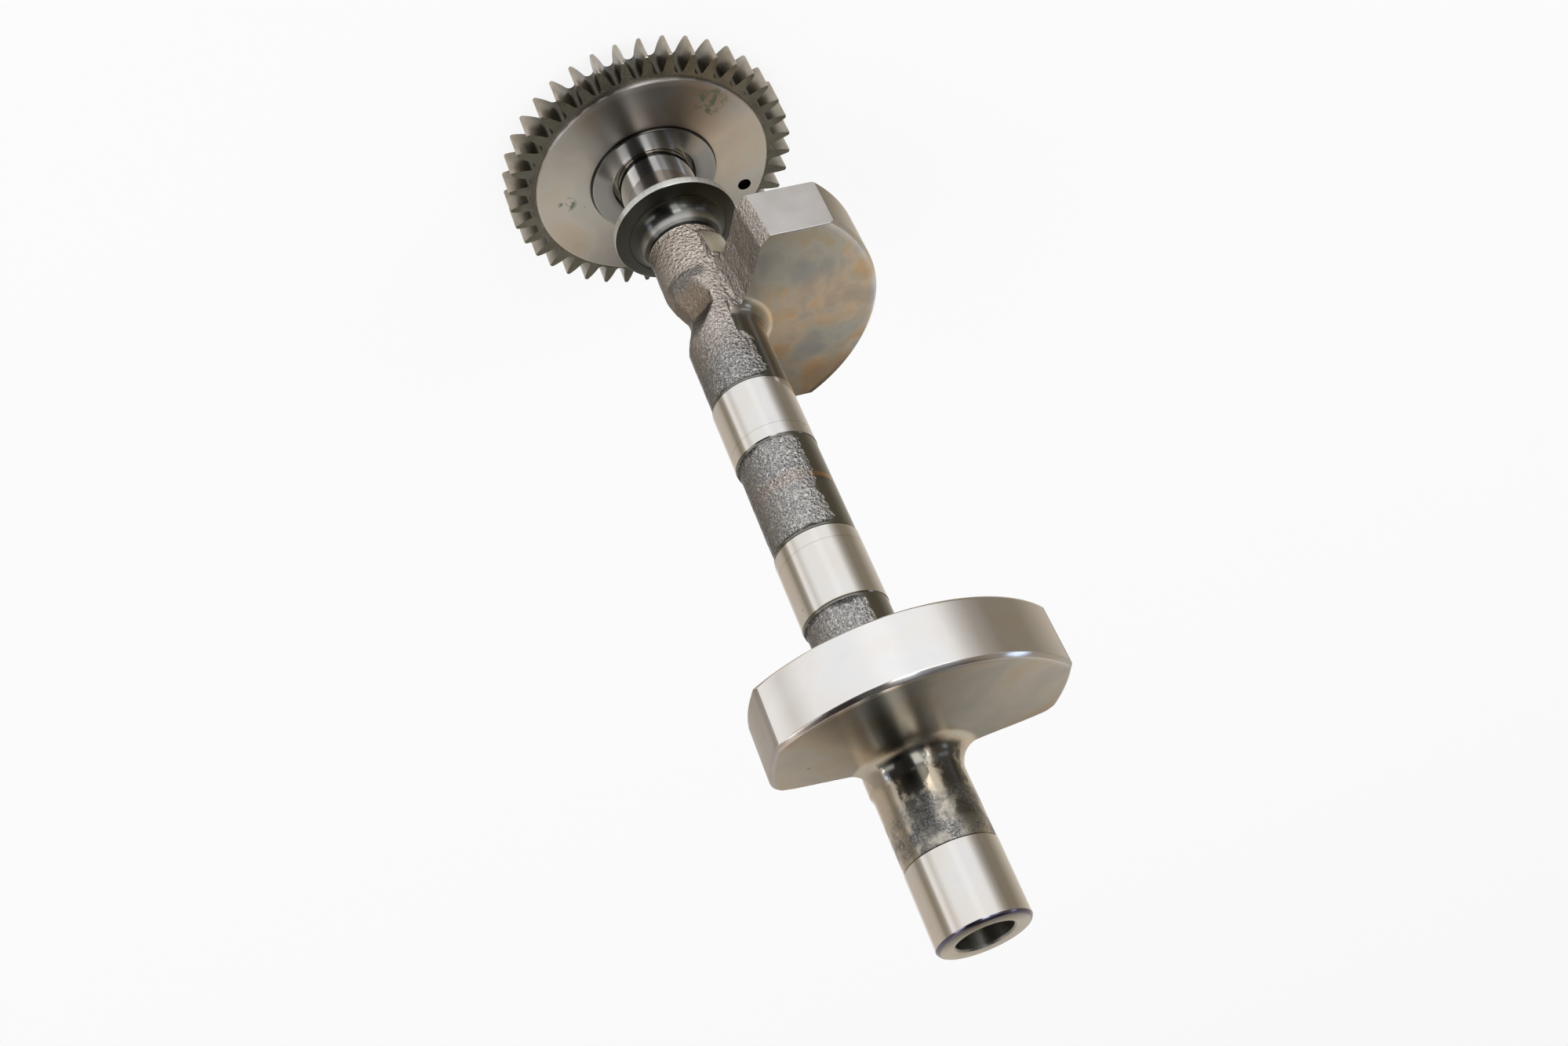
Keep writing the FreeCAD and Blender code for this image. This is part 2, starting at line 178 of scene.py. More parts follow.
# %% Parts of the profile
def journal_band(start, end):
    """A ground band with its two small bevels."""
    bevel = 0.4
    return [
        (SHANK_R, start), (JOURNAL_R - bevel, start), (JOURNAL_R - 0.1, start + 0.28),
        (JOURNAL_R, start + bevel), (JOURNAL_R, end - bevel),
        (JOURNAL_R - 0.1, end - 0.28), (JOURNAL_R - bevel, end), (SHANK_R, end),
    ]


def disc_rim(radius, rear, front, root_rear, root_front, fillet_front):
    """A counterweight's rim: rounded rear edge, bevelled front edge, two fillets."""
    edge, bevel, blend = 1.3, 1.1, 0.12
    points = arc((root_rear + ROOT_FILLET, rear - ROOT_FILLET), ROOT_FILLET, 180, 90, 8)
    points += arc((radius - edge, rear + edge), edge, -90, 0, 5)
    points += [(radius, front - bevel - blend), (radius - blend, front - bevel + blend)]
    points += [(radius - bevel + blend, front - blend), (radius - bevel - blend, front)]
    points += arc(
        (root_front + fillet_front, front + fillet_front), fillet_front, -90, -180, 18)
    return points


def end_profile():
    """The free end: bevel, end face, bore mouth, bore and its drilled bottom."""
    bore, mouth, bottom = 8.0, 0.5, SHAFT_END - 22.0
    return [
        (JOURNAL_R, SHAFT_END - 0.9), (JOURNAL_R - 0.1, SHAFT_END - 0.7),
        (JOURNAL_R - 0.55, SHAFT_END - 0.15), (JOURNAL_R - 0.8, SHAFT_END),
        (bore + mouth, SHAFT_END), (bore, SHAFT_END - mouth),
        (bore, bottom), (bore - 0.4, bottom - 0.5), (0.3, bottom - 2.0),
    ]

# %% [markdown]
# ## The turned form
# On the real shaft the lathe cut every round surface out of the forging. Here
# the whole profile is turned in one go, from the gear's end to the bore, as if
# the stock had been round and thick everywhere.

# %% Turned form of the shaft
def shaft_profile():
    flange, relief, floor = 22.4, 14.75, FLANGE_FACE - 1.6
    collar, edge = 21.4, 0.4
    points = [(0.5, 0.0), (flange - 0.5, 0.0), (flange, 0.5)]
    points += arc((flange - 0.5, FLANGE_FACE - 0.5), 0.5, 0, 90, 4)
    points += [
        (relief + 0.25, FLANGE_FACE), (relief, FLANGE_FACE - 0.25), (relief, floor + 0.3),
        (relief - 0.3, floor), (JOURNAL_R - 0.3, floor), (JOURNAL_R - 0.5, floor + 0.3),
        (JOURNAL_R - 0.5, FLANGE_FACE + 0.6), (JOURNAL_R, FLANGE_FACE + 1.1),
        (JOURNAL_R, COLLAR_REAR - 0.6), (JOURNAL_R + 0.6, COLLAR_REAR),
        (collar - edge, COLLAR_REAR),
    ]
    points += arc((collar - edge, COLLAR_REAR + edge), edge, -90, 0, 3)[1:]
    points += arc((collar - edge, COLLAR_FRONT - edge), edge, 0, 90, 3)
    # Dished front of the collar, then a hollow down to the neck
    points += [(20.3, COLLAR_FRONT + 0.35), (17.3, COLLAR_FRONT + 1.2)]
    points += arc((18.9, 45.4), 6.5, 250, 180, 10)
    points += [(12.4, 46.4), (12.4, 47.6), (12.7, 48.2), (13.1, 49.4), (14.1, 53.4)]
    points += [(15.0, 60.0)]
    points += disc_rim(RIM_1, *WEIGHT_1, FOOT_R, SHANK_R, ROOT_FILLET)
    points += journal_band(*JOURNAL_2)
    points += journal_band(*JOURNAL_3)
    points += disc_rim(RIM_2, *WEIGHT_2, SHANK_R, SHANK_R, NECK_FILLET)
    points += journal_band(JOURNAL_4_START, SHAFT_END)[:4]
    return points + end_profile()


shaft = turn("finished_shaft", shaft_profile(), 192)
report(shaft)

# %% [markdown]
# ## Plates and rods
# The counterweights, and the scoops in the forging behind them, are prisms.
# A circle with as many corners as the outline is added, each corner is moved
# to its place, and the face is extruded to its height. Plain rods and boxes
# are Blender's own cylinder and cube.

# %% Plates, rods and boxes
def plate(name, corners, low, high):
    """Prism from (x, y) corners in millimetres between two heights."""
    bpy.ops.mesh.primitive_circle_add(
        vertices=len(corners), radius=MM, fill_type="NGON", location=(0, 0, low * MM),
    )
    piece = settle(bpy.context.object, name)
    for vertex, (x, y) in zip(piece.data.vertices, corners):
        vertex.co = (x * MM, y * MM, low * MM)
    edit(piece)
    bpy.ops.mesh.extrude_region_move(
        TRANSFORM_OT_translate={"value": (0, 0, (high - low) * MM)},
    )
    leave_edit()
    face_outward(piece)
    return piece


def rotate(thing, degrees, axis="Z"):
    select_only(thing)
    thing.rotation_euler["XYZ".index(axis)] = math.radians(degrees)
    bpy.ops.object.transform_apply(location=True, rotation=True, scale=True)


def rod(name, radius, low, high, at=(0.0, 0.0)):
    """Plain upright cylinder between two heights."""
    bpy.ops.mesh.primitive_cylinder_add(
        vertices=96, radius=radius * MM, depth=(high - low) * MM,
        location=(at[0] * MM, at[1] * MM, (low + high) / 2 * MM),
    )
    return settle(bpy.context.object, name)


def box(name, size, centre, degrees):
    """Block round a point, then turned about the shaft's axis."""
    bpy.ops.mesh.primitive_cube_add(size=1, location=(0, 0, 0))
    block = bpy.context.object
    block.dimensions = [length * MM for length in size]
    block.location = [length * MM for length in centre]
    settle(block, name)
    rotate(block, degrees)
    return block


def boolean(thing, tool, operation):
    """Cut, keep or add another piece, which is used up."""
    apply_modifier(thing, "BOOLEAN", object=tool, operation=operation, solver="MANIFOLD")
    bpy.data.objects.remove(tool)

# %% [markdown]
# ## The forged shank
# A forging has two halves, one from each die, and here they don't quite match:
# one is a little thicker and shifted. Each half is a rod cut along the parting
# plane. Behind each weight the dies pinched the shank thin, which is cut by
# three flat scoops side by side.

# %% Two half rods and the scoops
PARTING = 96.5
FORGED_R, FORGED_R_FRONT, FORGED_SHIFT = 12.55, 12.7, 0.92
FORGED_SPAN = (36.0, 297.5)
WAIST_FLAT = 8.5
SCOOP_TURNS = (-36, 0, 36)


def keep_half(thing, degrees):
    """Keep the side of a piece that the compass angle points to."""
    angle = math.radians(degrees)
    edit(thing)
    bpy.ops.mesh.bisect(
        plane_co=(0, 0, 0), plane_no=(math.cos(angle), math.sin(angle), 0),
        use_fill=True, clear_inner=True,
    )
    leave_edit()


def scoops(rear, direction, abrupt=None):
    """Three flat cuts that thin the shank away from a counterweight."""
    low, high = rear - 6.5, rear + 24.0
    flat = [
        (WAIST_FLAT, rear + 9.5), (WAIST_FLAT, rear + 13.5),
        (13.0, high), (26.0, high), (26.0, low),
    ]
    cuts = []
    for step in SCOOP_TURNS:
        start = [(13.0, low), (10.8, rear + 3.0)]
        if step == abrupt:
            start = [(13.4, rear - 0.8), (9.9, rear + 3.4)]
        cut = plate("scoop", start + flat, -20.0, 20.0)
        # The outline was drawn lying down: stand it up, then turn it outwards
        rotate(cut, 90, "X")
        rotate(cut, direction + step, "Z")
        cuts.append(cut)
    return cuts


shank = rod("shank_left", FORGED_R, *FORGED_SPAN)
keep_half(shank, PARTING + 90)
for cut in scoops(WEIGHT_1[0], 180, abrupt=SCOOP_TURNS[0]) + scoops(WEIGHT_2[0], 270):
    boolean(shank, cut, "DIFFERENCE")
front_half = rod("shank_right", FORGED_R_FRONT, *FORGED_SPAN, at=(FORGED_SHIFT, 0.0))
keep_half(front_half, PARTING - 90)
report(shank)

# %% [markdown]
# ## Blocks for the counterweights
# Each counterweight left the dies as a block wider than its rim. Only its back
# keeps the die's shape, which dips towards the axis in the middle, so the
# outline is drawn for one half and mirrored.

# %% Counterweight blocks
BACK_1 = [(5.2, 12.0), (7.6, 17.0), (9.6, 24.0), (11.4, 36.0), (13.9, 39.6), (17.0, 43.0)]
BACK_2 = [
    (3.0, 11.0), (4.4, 14.0), (5.5, 17.0), (7.1, 24.5),
    (9.0, 33.5), (10.3, 37.4), (12.9, 39.9), (18.5, 43.0),
]


def weight_block(name, corners, span, radius, degrees, draft, front_stock):
    """Forged counterweight; its back slopes outwards towards the rear face."""
    rear, front = span
    stock, half_width, back_reach = 2.0, 43.0, 18.0
    half = corners + [(radius + stock, half_width)]
    mirrored = [(x, -y) for x, y in reversed(half)]
    block = plate(name, half + mirrored, rear - stock, front + front_stock)
    for vertex in block.data.vertices:
        if vertex.co.z < rear * MM and 0 < vertex.co.x < back_reach * MM:
            vertex.co.x -= draft * MM
    rotate(block, degrees)
    return block


blocks = [
    weight_block("block_1", BACK_1, WEIGHT_1, RIM_1, 0, draft=2.2, front_stock=2.0),
    weight_block("block_2", BACK_2, WEIGHT_2, RIM_2, 90, draft=0.0, front_stock=7.0),
]
print("blocks:", [block.name for block in blocks])

# %% [markdown]
# ## The rest of the stock
# Where the lathe will cut, the blank only has to be bulkier than the finished
# size. A swell stands in front of the lower weight, and a lump on the first
# neck will be left as a smooth pad. A thin wall in the parting plane becomes
# the seam where the two dies met.

# %% Rods, swell, pad and seam
STOCK_R, SPARE = 15.0, 0.4
SEAM_PROUD = 0.12
swell = rod("swell_stock", 14.5, WEIGHT_1[1] - 2.0, WEIGHT_1[1] + 10.3)
keep_half(swell, degrees=-6)
stock_pieces = [
    shank, front_half, swell,
    rod("head_stock", 26.0, -2.0, 47.9),
    rod("journal_2_stock", STOCK_R, JOURNAL_2[0] - SPARE, JOURNAL_2[1] + SPARE),
    rod("journal_3_stock", STOCK_R, JOURNAL_3[0] - SPARE, JOURNAL_3[1] + SPARE),
    rod("journal_4_stock", STOCK_R, JOURNAL_4_START - SPARE, SHAFT_END + 2.0),
    rod("neck_stock", 13.6, WEIGHT_2[1] - 2.0, JOURNAL_4_START),
    *blocks,
    box("neck_pad", size=(17.0, 9.0, 13.0), centre=(8.5, 0.0, 59.3), degrees=61),
    box("seam", size=(2 * (FORGED_R + SEAM_PROUD), 0.9, 250.0),
        centre=(0.0, 0.0, 172.0), degrees=PARTING),
]
blank = join(stock_pieces, "forged_blank")
print("blank of", len(stock_pieces), "pieces")

# %% [markdown]
# ## The forged skin
# Hot steel fills the dies in one piece, so all corners run into each other. A
# voxel remesh melts the lumps together and a few smoothing passes round them.
# Two cloud patterns then push the skin in and out: the waves of the worn die,
# and the small pits that scale leaves.

# %% Melt, smooth and roughen
SKIN_GRID = 0.62


def lumps(name, scale, height):
    """Cloud pattern that pushes the forged skin in and out."""
    clouds = bpy.data.textures.new(name, "CLOUDS")
    clouds.noise_scale = scale * MM
    clouds.noise_depth = 2
    apply_modifier(blank, "DISPLACE", texture=clouds, strength=height * MM, mid_level=0.5)


blank.data.remesh_voxel_size = SKIN_GRID * MM
select_only(blank)
bpy.ops.object.voxel_remesh()
apply_modifier(blank, "SMOOTH", factor=0.5, iterations=5)
lumps("die_waves", scale=7.0, height=0.22)
lumps("scale_pits", scale=1.7, height=0.20)
report(blank)

# %% [markdown]
# ## Turning the forging
# The machined shaft is what the turned form and the rough blank have in
# common: where the forging is thicker, the lathe's surface shows, and where it
# is thinner, the skin stays. One intersection gives both, with the slightly
# ragged border between them. Each face takes its finish along.

# %% Bring the two together
FINISHES = ["ground", "turned", "forged", "milled"]
GROUND, TURNED, FORGED, MILLED = range(4)
GROUND_BANDS = [
    (FLANGE_FACE, COLLAR_REAR - 0.4), JOURNAL_2, JOURNAL_3,
    (JOURNAL_4_START, SHAFT_END - 1.9),
]


def give_finishes(thing, labels, index=0):
    """Hand a piece its list of finishes, and one of them to all its faces."""
    thing.data.materials.clear()
    for label in labels:
        material = bpy.data.materials.get(label) or bpy.data.materials.new(label)
        thing.data.materials.append(material)
    for face in thing.data.polygons:
        face.material_index = index


def station(face):
    """Height and radius of a face's middle in millimetres."""
    return face.center.z / MM, math.hypot(face.center.x, face.center.y) / MM


give_finishes(shaft, FINISHES, TURNED)
give_finishes(blank, FINISHES, FORGED)
for face in shaft.data.polygons:
    height, reach = station(face)
    upright = abs(face.normal.z) < 0.5 and abs(reach - JOURNAL_R) < 0.3
    if upright and any(low < height < high for low, high in GROUND_BANDS):
        face.material_index = GROUND
boolean(shaft, blank, "INTERSECT")
report(shaft)

# %% [markdown]
# ## Milled flanks
# The two sides of each counterweight are milled flat and parallel. First comes
# the shape that has to stay between them. It has rounded edges and, on the
# upper weight, sides that belly out a little.

# %% Shape that stays
HALF_SPAN = 40.2


def select_edges(thing, rule):
    """Enter edit mode with the edges chosen whose two ends fit a rule."""
    edit(thing, "DESELECT")
    bpy.ops.mesh.select_mode(type="EDGE")
    leave_edit()
    for line in thing.data.edges:
        first, second = (thing.data.vertices[i].co / MM for i in line.vertices)
        line.select = rule(first, second)
    bpy.ops.object.mode_set(mode="EDIT")


def kept_shape(span, radius, rounding, belly):
    """What stays of a counterweight between its two flanks, edges rounded."""
    foot, back, steps, spare = 12.0, -32.0, 8, 0.01
    corner = math.sqrt(radius ** 2 - HALF_SPAN ** 2)
    opening = math.degrees(math.atan2(HALF_SPAN, corner))
    # A flank that bellies out follows a shallow curve from its back to the rim
    side = [(foot, HALF_SPAN)]
    for i in range(1, steps):
        t = i / steps
        side.append((foot + (corner - foot) * t, HALF_SPAN + 4 * belly * t * (1 - t)))
    corners = [(back, -HALF_SPAN)] + [(x, -y) for x, y in side]
    corners += arc((0, 0), radius + spare, -opening, opening, 48)
    corners += side[::-1] + [(back, HALF_SPAN)]
    keep = plate("keep", corners, span[0] - spare, span[1] + spare)

    def long_or_corner(a, b):
        on_flank = min(abs(a.y), abs(b.y)) > HALF_SPAN - 0.02
        at_rim = abs(a.x - corner) < 0.1 and abs(b.x - corner) < 0.1
        return on_flank and (at_rim or abs(a.z - b.z) < 0.1)

    select_edges(keep, long_or_corner)
    bpy.ops.mesh.bevel(offset=rounding * MM, segments=4, affect="EDGES")
    leave_edit()
    return keep

# %% [markdown]
# ## The milling cut
# The waste is two blocks beside the weight, less the shape that stays. Taking
# it away leaves the flanks and their roundings in one cut, and its finish
# comes along on the new faces.

# %% Cut the flanks
def flank_waste(span, radius, degrees, rounding, belly):
    """The metal that the cutter takes away beside both flanks."""
    back, outer, near, far = -30, radius + 9, 34, 70
    sides = []
    for side in (1, -1):
        corners = [(back, near), (outer, near), (outer, far), (back, far)]
        corners = [(x, side * y) for x, y in corners]
        sides.append(plate("side", corners, span[0] - 4, span[1] + 0.9))
    waste = join(sides, "flank_waste")
    boolean(waste, kept_shape(span, radius, rounding, belly), "DIFFERENCE")
    give_finishes(waste, FINISHES, MILLED)
    rotate(waste, degrees)
    return waste


lower_waste = flank_waste(WEIGHT_1, RIM_1, 0, rounding=0.35, belly=0.0)
boolean(shaft, lower_waste, "DIFFERENCE")
upper_waste = flank_waste(WEIGHT_2, RIM_2, 90, rounding=1.2, belly=0.95)
boolean(shaft, upper_waste, "DIFFERENCE")
report(shaft)

# %% [markdown]
# ## Crisp borders, soft roundings
# A machined part shows a sharp line wherever one finish meets another, and
# soft light only on its roundings. The border of every finish is marked
# sharp, the rest is shaded smooth below a certain angle.

# %% Shading
BRUSHED_FOOT = (246.2, 255.0, 15.0)


def shade(thing, angle):
    """Smooth shading that keeps corners and the borders of each finish crisp."""
    edit(thing, "DESELECT")
    bpy.ops.mesh.select_mode(type="FACE")
    for index in range(len(thing.data.materials)):
        bpy.ops.mesh.select_all(action="DESELECT")
        thing.active_material_index = index
        bpy.ops.object.material_slot_select()
        bpy.ops.mesh.region_to_loop()
        bpy.ops.mesh.mark_sharp()
        bpy.ops.mesh.select_mode(type="FACE")
    leave_edit()
    select_only(thing)
    bpy.ops.object.shade_smooth_by_angle(angle=math.radians(angle), keep_sharp_edges=True)
    # Large flat faces keep their own direction, small roundings bend to them
    apply_modifier(thing, "WEIGHTED_NORMAL", keep_sharp=True, weight=50)


# The lathe also brushed the skin at the foot of the last neck
low, high, outer = BRUSHED_FOOT
for face in shaft.data.polygons:
    height, reach = station(face)
    if face.material_index == FORGED and low < height < high and reach < outer:
        face.material_index = TURNED
shade(shaft, angle=32)
for index, label in enumerate(FINISHES):
    print(label, sum(face.material_index == index for face in shaft.data.polygons), "faces")

# %% [markdown]
# ## The gear's disc
# A gear starts as a turned disc with its teeth's full height all round. The
# web stands a little above the toothed band, behind a small step.

# %% Gear disc
TEETH = 39
TIP_R, BAND_TOP, WEB_TOP, WEB_R = 50.6, 10.0, 11.4, 41.5
SEAT_R = 22.41
HOLE_R, HOLE_AT = 2.4, (33.515, -11.084)
CUT_SPAN = (-1.0, 13.0)


def gear_profile():
    points = [(0.5, 0.0), (TIP_R - 0.3, 0.0), (TIP_R, 0.3), (TIP_R, BAND_TOP - 0.3)]
    points += [(TIP_R - 0.3, BAND_TOP), (WEB_R + 0.35, BAND_TOP)]
    points += arc((WEB_R + 0.35, BAND_TOP + 0.35), 0.35, 270, 180, 3)[1:]
    points += [(WEB_R, WEB_TOP - 0.55), (WEB_R - 0.18, WEB_TOP - 0.2)]
    return points + [(WEB_R - 0.5, WEB_TOP), (SEAT_R + 0.4, WEB_TOP)]


gear = turn("finished_gear", gear_profile(), 8 * TEETH)
report(gear)

# %% [markdown]
# ## One gap, copied round
# A hob cuts the gaps between the teeth one after the other. The same is done
# here: one cutter has the shape of the space between two teeth, and its copies
# are turned round the disc and cut away together. The seat and the timing hole
# are drilled after them.

# %% Teeth, seat and timing hole
ROOT_CENTRE, ROOT_R = 44.85, 1.75
FLANK_TOP, TIP_HALF = (50.1, 0.65), 0.3
FIRST_GAP = 86.9
FLANK_SWELL = 0.14


def on_circle(radius, half_thickness):
    """Point on a tooth's side, seen from the middle of the gap beside it."""
    angle = math.pi / TEETH - math.asin(half_thickness / radius)
    return radius * math.cos(angle), radius * math.sin(angle)


def gap_side():
    """One side of a gap, from the bottom of its root to outside the teeth."""
    x, y = on_circle(*FLANK_TOP)
    reach = math.hypot(x - ROOT_CENTRE, y)
    touch = math.degrees(math.atan2(y, x - ROOT_CENTRE) + math.acos(ROOT_R / reach))
    side = arc((ROOT_CENTRE, 0), ROOT_R, 180, touch, 7)
    start = side[-1]
    # The flank swells a little towards the gap, as an involute does
    for i in range(1, 6):
        t = i / 6
        swell = FLANK_SWELL * math.sin(math.pi * t) * (1 + 0.5 * t)
        side.append((
            start[0] + (x - start[0]) * t + swell * 0.45,
            start[1] + (y - start[1]) * t - swell * 0.9,
        ))
    edge_x, edge_y = on_circle(TIP_R, TIP_HALF)
    side += [(x, y), (edge_x, edge_y), (edge_x * 1.04, edge_y * 1.04)]
    return side


half_gap = gap_side()
gap_corners = [(x, -y) for x, y in reversed(half_gap[1:])] + half_gap
hob = plate("hob", gap_corners, *CUT_SPAN)
rotate(hob, FIRST_GAP)
cutters = [hob]
for i in range(1, TEETH):
    cutter = hob.copy()
    cutter.data = hob.data.copy()
    bpy.context.scene.collection.objects.link(cutter)
    rotate(cutter, 360 / TEETH * i)
    cutters.append(cutter)
boolean(gear, join(cutters, "gaps"), "DIFFERENCE")
boolean(gear, rod("seat", SEAT_R, *CUT_SPAN), "DIFFERENCE")
boolean(gear, rod("timing_hole", HOLE_R, *CUT_SPAN, at=HOLE_AT), "DIFFERENCE")
report(gear)

# %% [markdown]
# ## Breaking the gear's edges
# Fresh teeth are sharp enough to cut a hand, so their edges are brushed off.
# Double points go first, then a bevel rounds every edge above an angle. The
# web and the rear face are turned, everything else comes from the hob.

# %% Break the edges, then finishes
EDGE_BREAK = 0.16
edit(gear)
bpy.ops.mesh.remove_doubles(threshold=0.004 * MM)
bpy.ops.mesh.dissolve_limited(angle_limit=math.radians(0.4))
leave_edit()
apply_modifier(
    gear, "BEVEL", width=EDGE_BREAK * MM, segments=2, limit_method="ANGLE",
    angle_limit=math.radians(62),
)
give_finishes(gear, ["faced_web", "hobbed_teeth"])
for face in gear.data.polygons:
    height, reach = station(face)
    on_web = height > BAND_TOP + 0.5 or (reach < 42.0 and height < 0.1)
    face.material_index = 0 if on_web else 1
shade(gear, angle=30)
report(gear)

# %% [markdown]
# ## Finishes, in nodes
# A finish is a small network: masks say where, colours say what. A socket
# knows its own tree, so these helpers only need what is fed in. Each returns
# the socket of its result, and the nodes are laid out in rows of eight.

# %% Node helpers
def put(tree, kind, **settings):
    """Add a node of a kind to a tree and set its options."""
    row, column = divmod(len(tree.nodes), 8)
    node = tree.nodes.new(kind)
    node.location = (column * 200, row * -320)
    for name, value in settings.items():
        setattr(node, name, value)
    return node


def feed(socket, value):
    """Link a value into a socket, or set it there as a number or a colour."""
    if isinstance(value, bpy.types.NodeSocket):
        socket.id_data.links.new(value, socket)
    elif socket.type == "RGBA":
        socket.default_value = (*value, 1)
    else:
        socket.default_value = value


def math_node(operation, first, second=0.0):
    node = put(first.id_data, "ShaderNodeMath", operation=operation)
    feed(node.inputs[0], first)
    feed(node.inputs[1], second)
    return node.outputs[0]


def times(first, *others):
    """Product of a mask with other masks or numbers."""
    for other in others:
        first = math_node("MULTIPLY", first, other)
    return first


def vector_math(operation, first, second=None):
    node = put(first.id_data, "ShaderNodeVectorMath", operation=operation)
    feed(node.inputs[0], first)
    if second is not None:
        feed(node.inputs[1], second)
    is_number = operation in ("LENGTH", "DISTANCE", "DOT_PRODUCT")
    return node.outputs["Value" if is_number else "Vector"]


def split(vector):
    """The X, Y and Z of a vector."""
    node = put(vector.id_data, "ShaderNodeSeparateXYZ")
    feed(node.inputs[0], vector)
    return node.outputs


def merge(x, y, z=0.0):
    """A vector from its three numbers."""
    node = put(y.id_data, "ShaderNodeCombineXYZ")
    for socket, value in zip(node.inputs, (x, y, z)):
        feed(socket, value)
    return node.outputs[0]

# %% [markdown]
# ## Patterns and colours
# Nothing on a real surface has just one colour. Noise gives clouds and grain,
# a ramp turns a number into a colour, and a blend lays one colour over another
# where a mask allows it.

# %% Pattern helpers
def noise(place, scale, detail=3.0, rough=0.5, warp=0.0, shift=None):
    node = put(place.id_data, "ShaderNodeTexNoise")
    if shift is not None:
        node.noise_dimensions = "4D"
        feed(node.inputs["W"], shift)
    for label, value in (
        ("Vector", place), ("Scale", scale), ("Detail", detail),
        ("Roughness", rough), ("Distortion", warp),
    ):
        feed(node.inputs[label], value)
    return node.outputs["Fac"]


def cells(place, scale, **settings):
    """Pattern of cells, for pits and pebbles."""
    node = put(place.id_data, "ShaderNodeTexVoronoi", **settings)
    feed(node.inputs["Vector"], place)
    feed(node.inputs["Scale"], scale)
    return node


def to_range(value, low, high, new_low=0.0, new_high=1.0):
    node = put(value.id_data, "ShaderNodeMapRange")
    for label, number in (
        ("Value", value), ("From Min", low), ("From Max", high),
        ("To Min", new_low), ("To Max", new_high),
    ):
        feed(node.inputs[label], number)
    return node.outputs["Result"]


def ramp(factor, stops, span=None):
    """Colour ramp from (position, colour) stops; a number gives a grey.

    With a span the positions are millimetres between its two ends.
    """
    if span:
        low, high = span
        factor = to_range(factor, low * MM, high * MM)
        stops = [((at - low) / (high - low), colour) for at, colour in stops]
    node = put(factor.id_data, "ShaderNodeValToRGB")
    elements = node.color_ramp.elements
    while len(elements) < len(stops):
        elements.new(0.5)
    for element, (position, colour) in zip(elements, stops):
        rgb = colour if isinstance(colour, tuple) else (colour,) * 3
        element.position = position
        element.color = (*rgb, 1)
    feed(node.inputs["Fac"], factor)
    return node.outputs["Color"]


def blend(under, over, share, kind="MIX"):
    """Lay one colour over another; the share is a mask, or 1 for everywhere."""
    node = put(under.id_data, "ShaderNodeMix", data_type="RGBA", blend_type=kind)
    for index, value in ((0, share), (6, under), (7, over)):
        feed(node.inputs[index], value)
    return node.outputs[2]

# %% [markdown]
# ## Where on the part
# Machining leaves its marks by radius, by height and, where feed marks throw
# the light, by compass angle. A band is a stretch of radius or height, and a
# zone is where two bands cross, so every mark can be placed with a ruler.

# %% Place helpers
FAR = 1000.0


def polar(place):
    """Distance from the axis, height, and the direction outwards."""
    x, y, z = split(place)
    flat = merge(x, y)
    return vector_math("LENGTH", flat), z, vector_math("NORMALIZE", flat)


def window(value, low, high, soft):
    """One between two values of something, nothing outside them."""
    rise = to_range(value, low - soft, low)
    fall = to_range(value, high, high + soft, 1.0, 0.0)
    return times(rise, fall)


def band(value, low, high, soft):
    """The same for a radius or height, in millimetres."""
    return window(value, low * MM, high * MM, soft * MM)


def zone(radius, height, radii, heights):
    """Where a band of radius and a band of height cross."""
    return times(band(radius, *radii), band(height, *heights))


def toward(direction, degrees):
    """Cosine of the angle between a place's side and a compass angle."""
    angle = math.radians(degrees)
    return vector_math("DOT_PRODUCT", direction, (math.cos(angle), math.sin(angle), 0.0))


def lying_flat(place):
    """One on faces square to the axis, nothing on upright ones."""
    normal = put(place.id_data, "ShaderNodeNewGeometry").outputs["Normal"]
    return math_node("ABSOLUTE", split(normal)["Z"])

# %% [markdown]
# ## Group: rings of a lathe or a grinding wheel
# The marks of a lathe run in rings. Radius plus height serves for them all: it
# changes across a ring whether the face is flat, conical or straight. The
# rings wander a little round the axis, because no real tool holds still.

# %% Lathe rings
FLOAT, VECTOR, COLOUR = "NodeSocketFloat", "NodeSocketVector", "NodeSocketColor"


def new_group(name, inputs, outputs):
    """Empty node group with named sockets; each input has its first value."""
    group = bpy.data.node_groups.new(name, "ShaderNodeTree")
    for label, kind, value in [("Place", VECTOR, None)] + inputs:
        socket = group.interface.new_socket(name=label, in_out="INPUT", socket_type=kind)
        if value is not None:
            socket.default_value = value
    for label, kind in outputs:
        group.interface.new_socket(name=label, in_out="OUTPUT", socket_type=kind)
    given = put(group, "NodeGroupInput").outputs
    return group, given, put(group, "NodeGroupOutput").inputs


RINGS, given, result = new_group(
    "lathe_rings", [("Per mm", FLOAT, 2.0), ("Wander", FLOAT, 0.6)], [("Height", FLOAT)])
radius, height, direction = polar(given["Place"])
along = times(math_node("ADD", radius, height), 1 / MM, given["Per mm"])
x, y, _ = split(vector_math("MULTIPLY", direction, given["Wander"]))
feed(result["Height"], noise(merge(x, y, along), 1.0, detail=2.0, rough=0.7))
print("lathe_rings:", len(RINGS.nodes), "nodes")

# %% [markdown]
# ## Group: heat tint
# Hardened steel comes out of the furnace in clouds of straw, copper, violet
# and grey-blue, by how hot each spot became. Soft noise is sent through a ramp
# of those hues and multiplied with the colour of the steel.

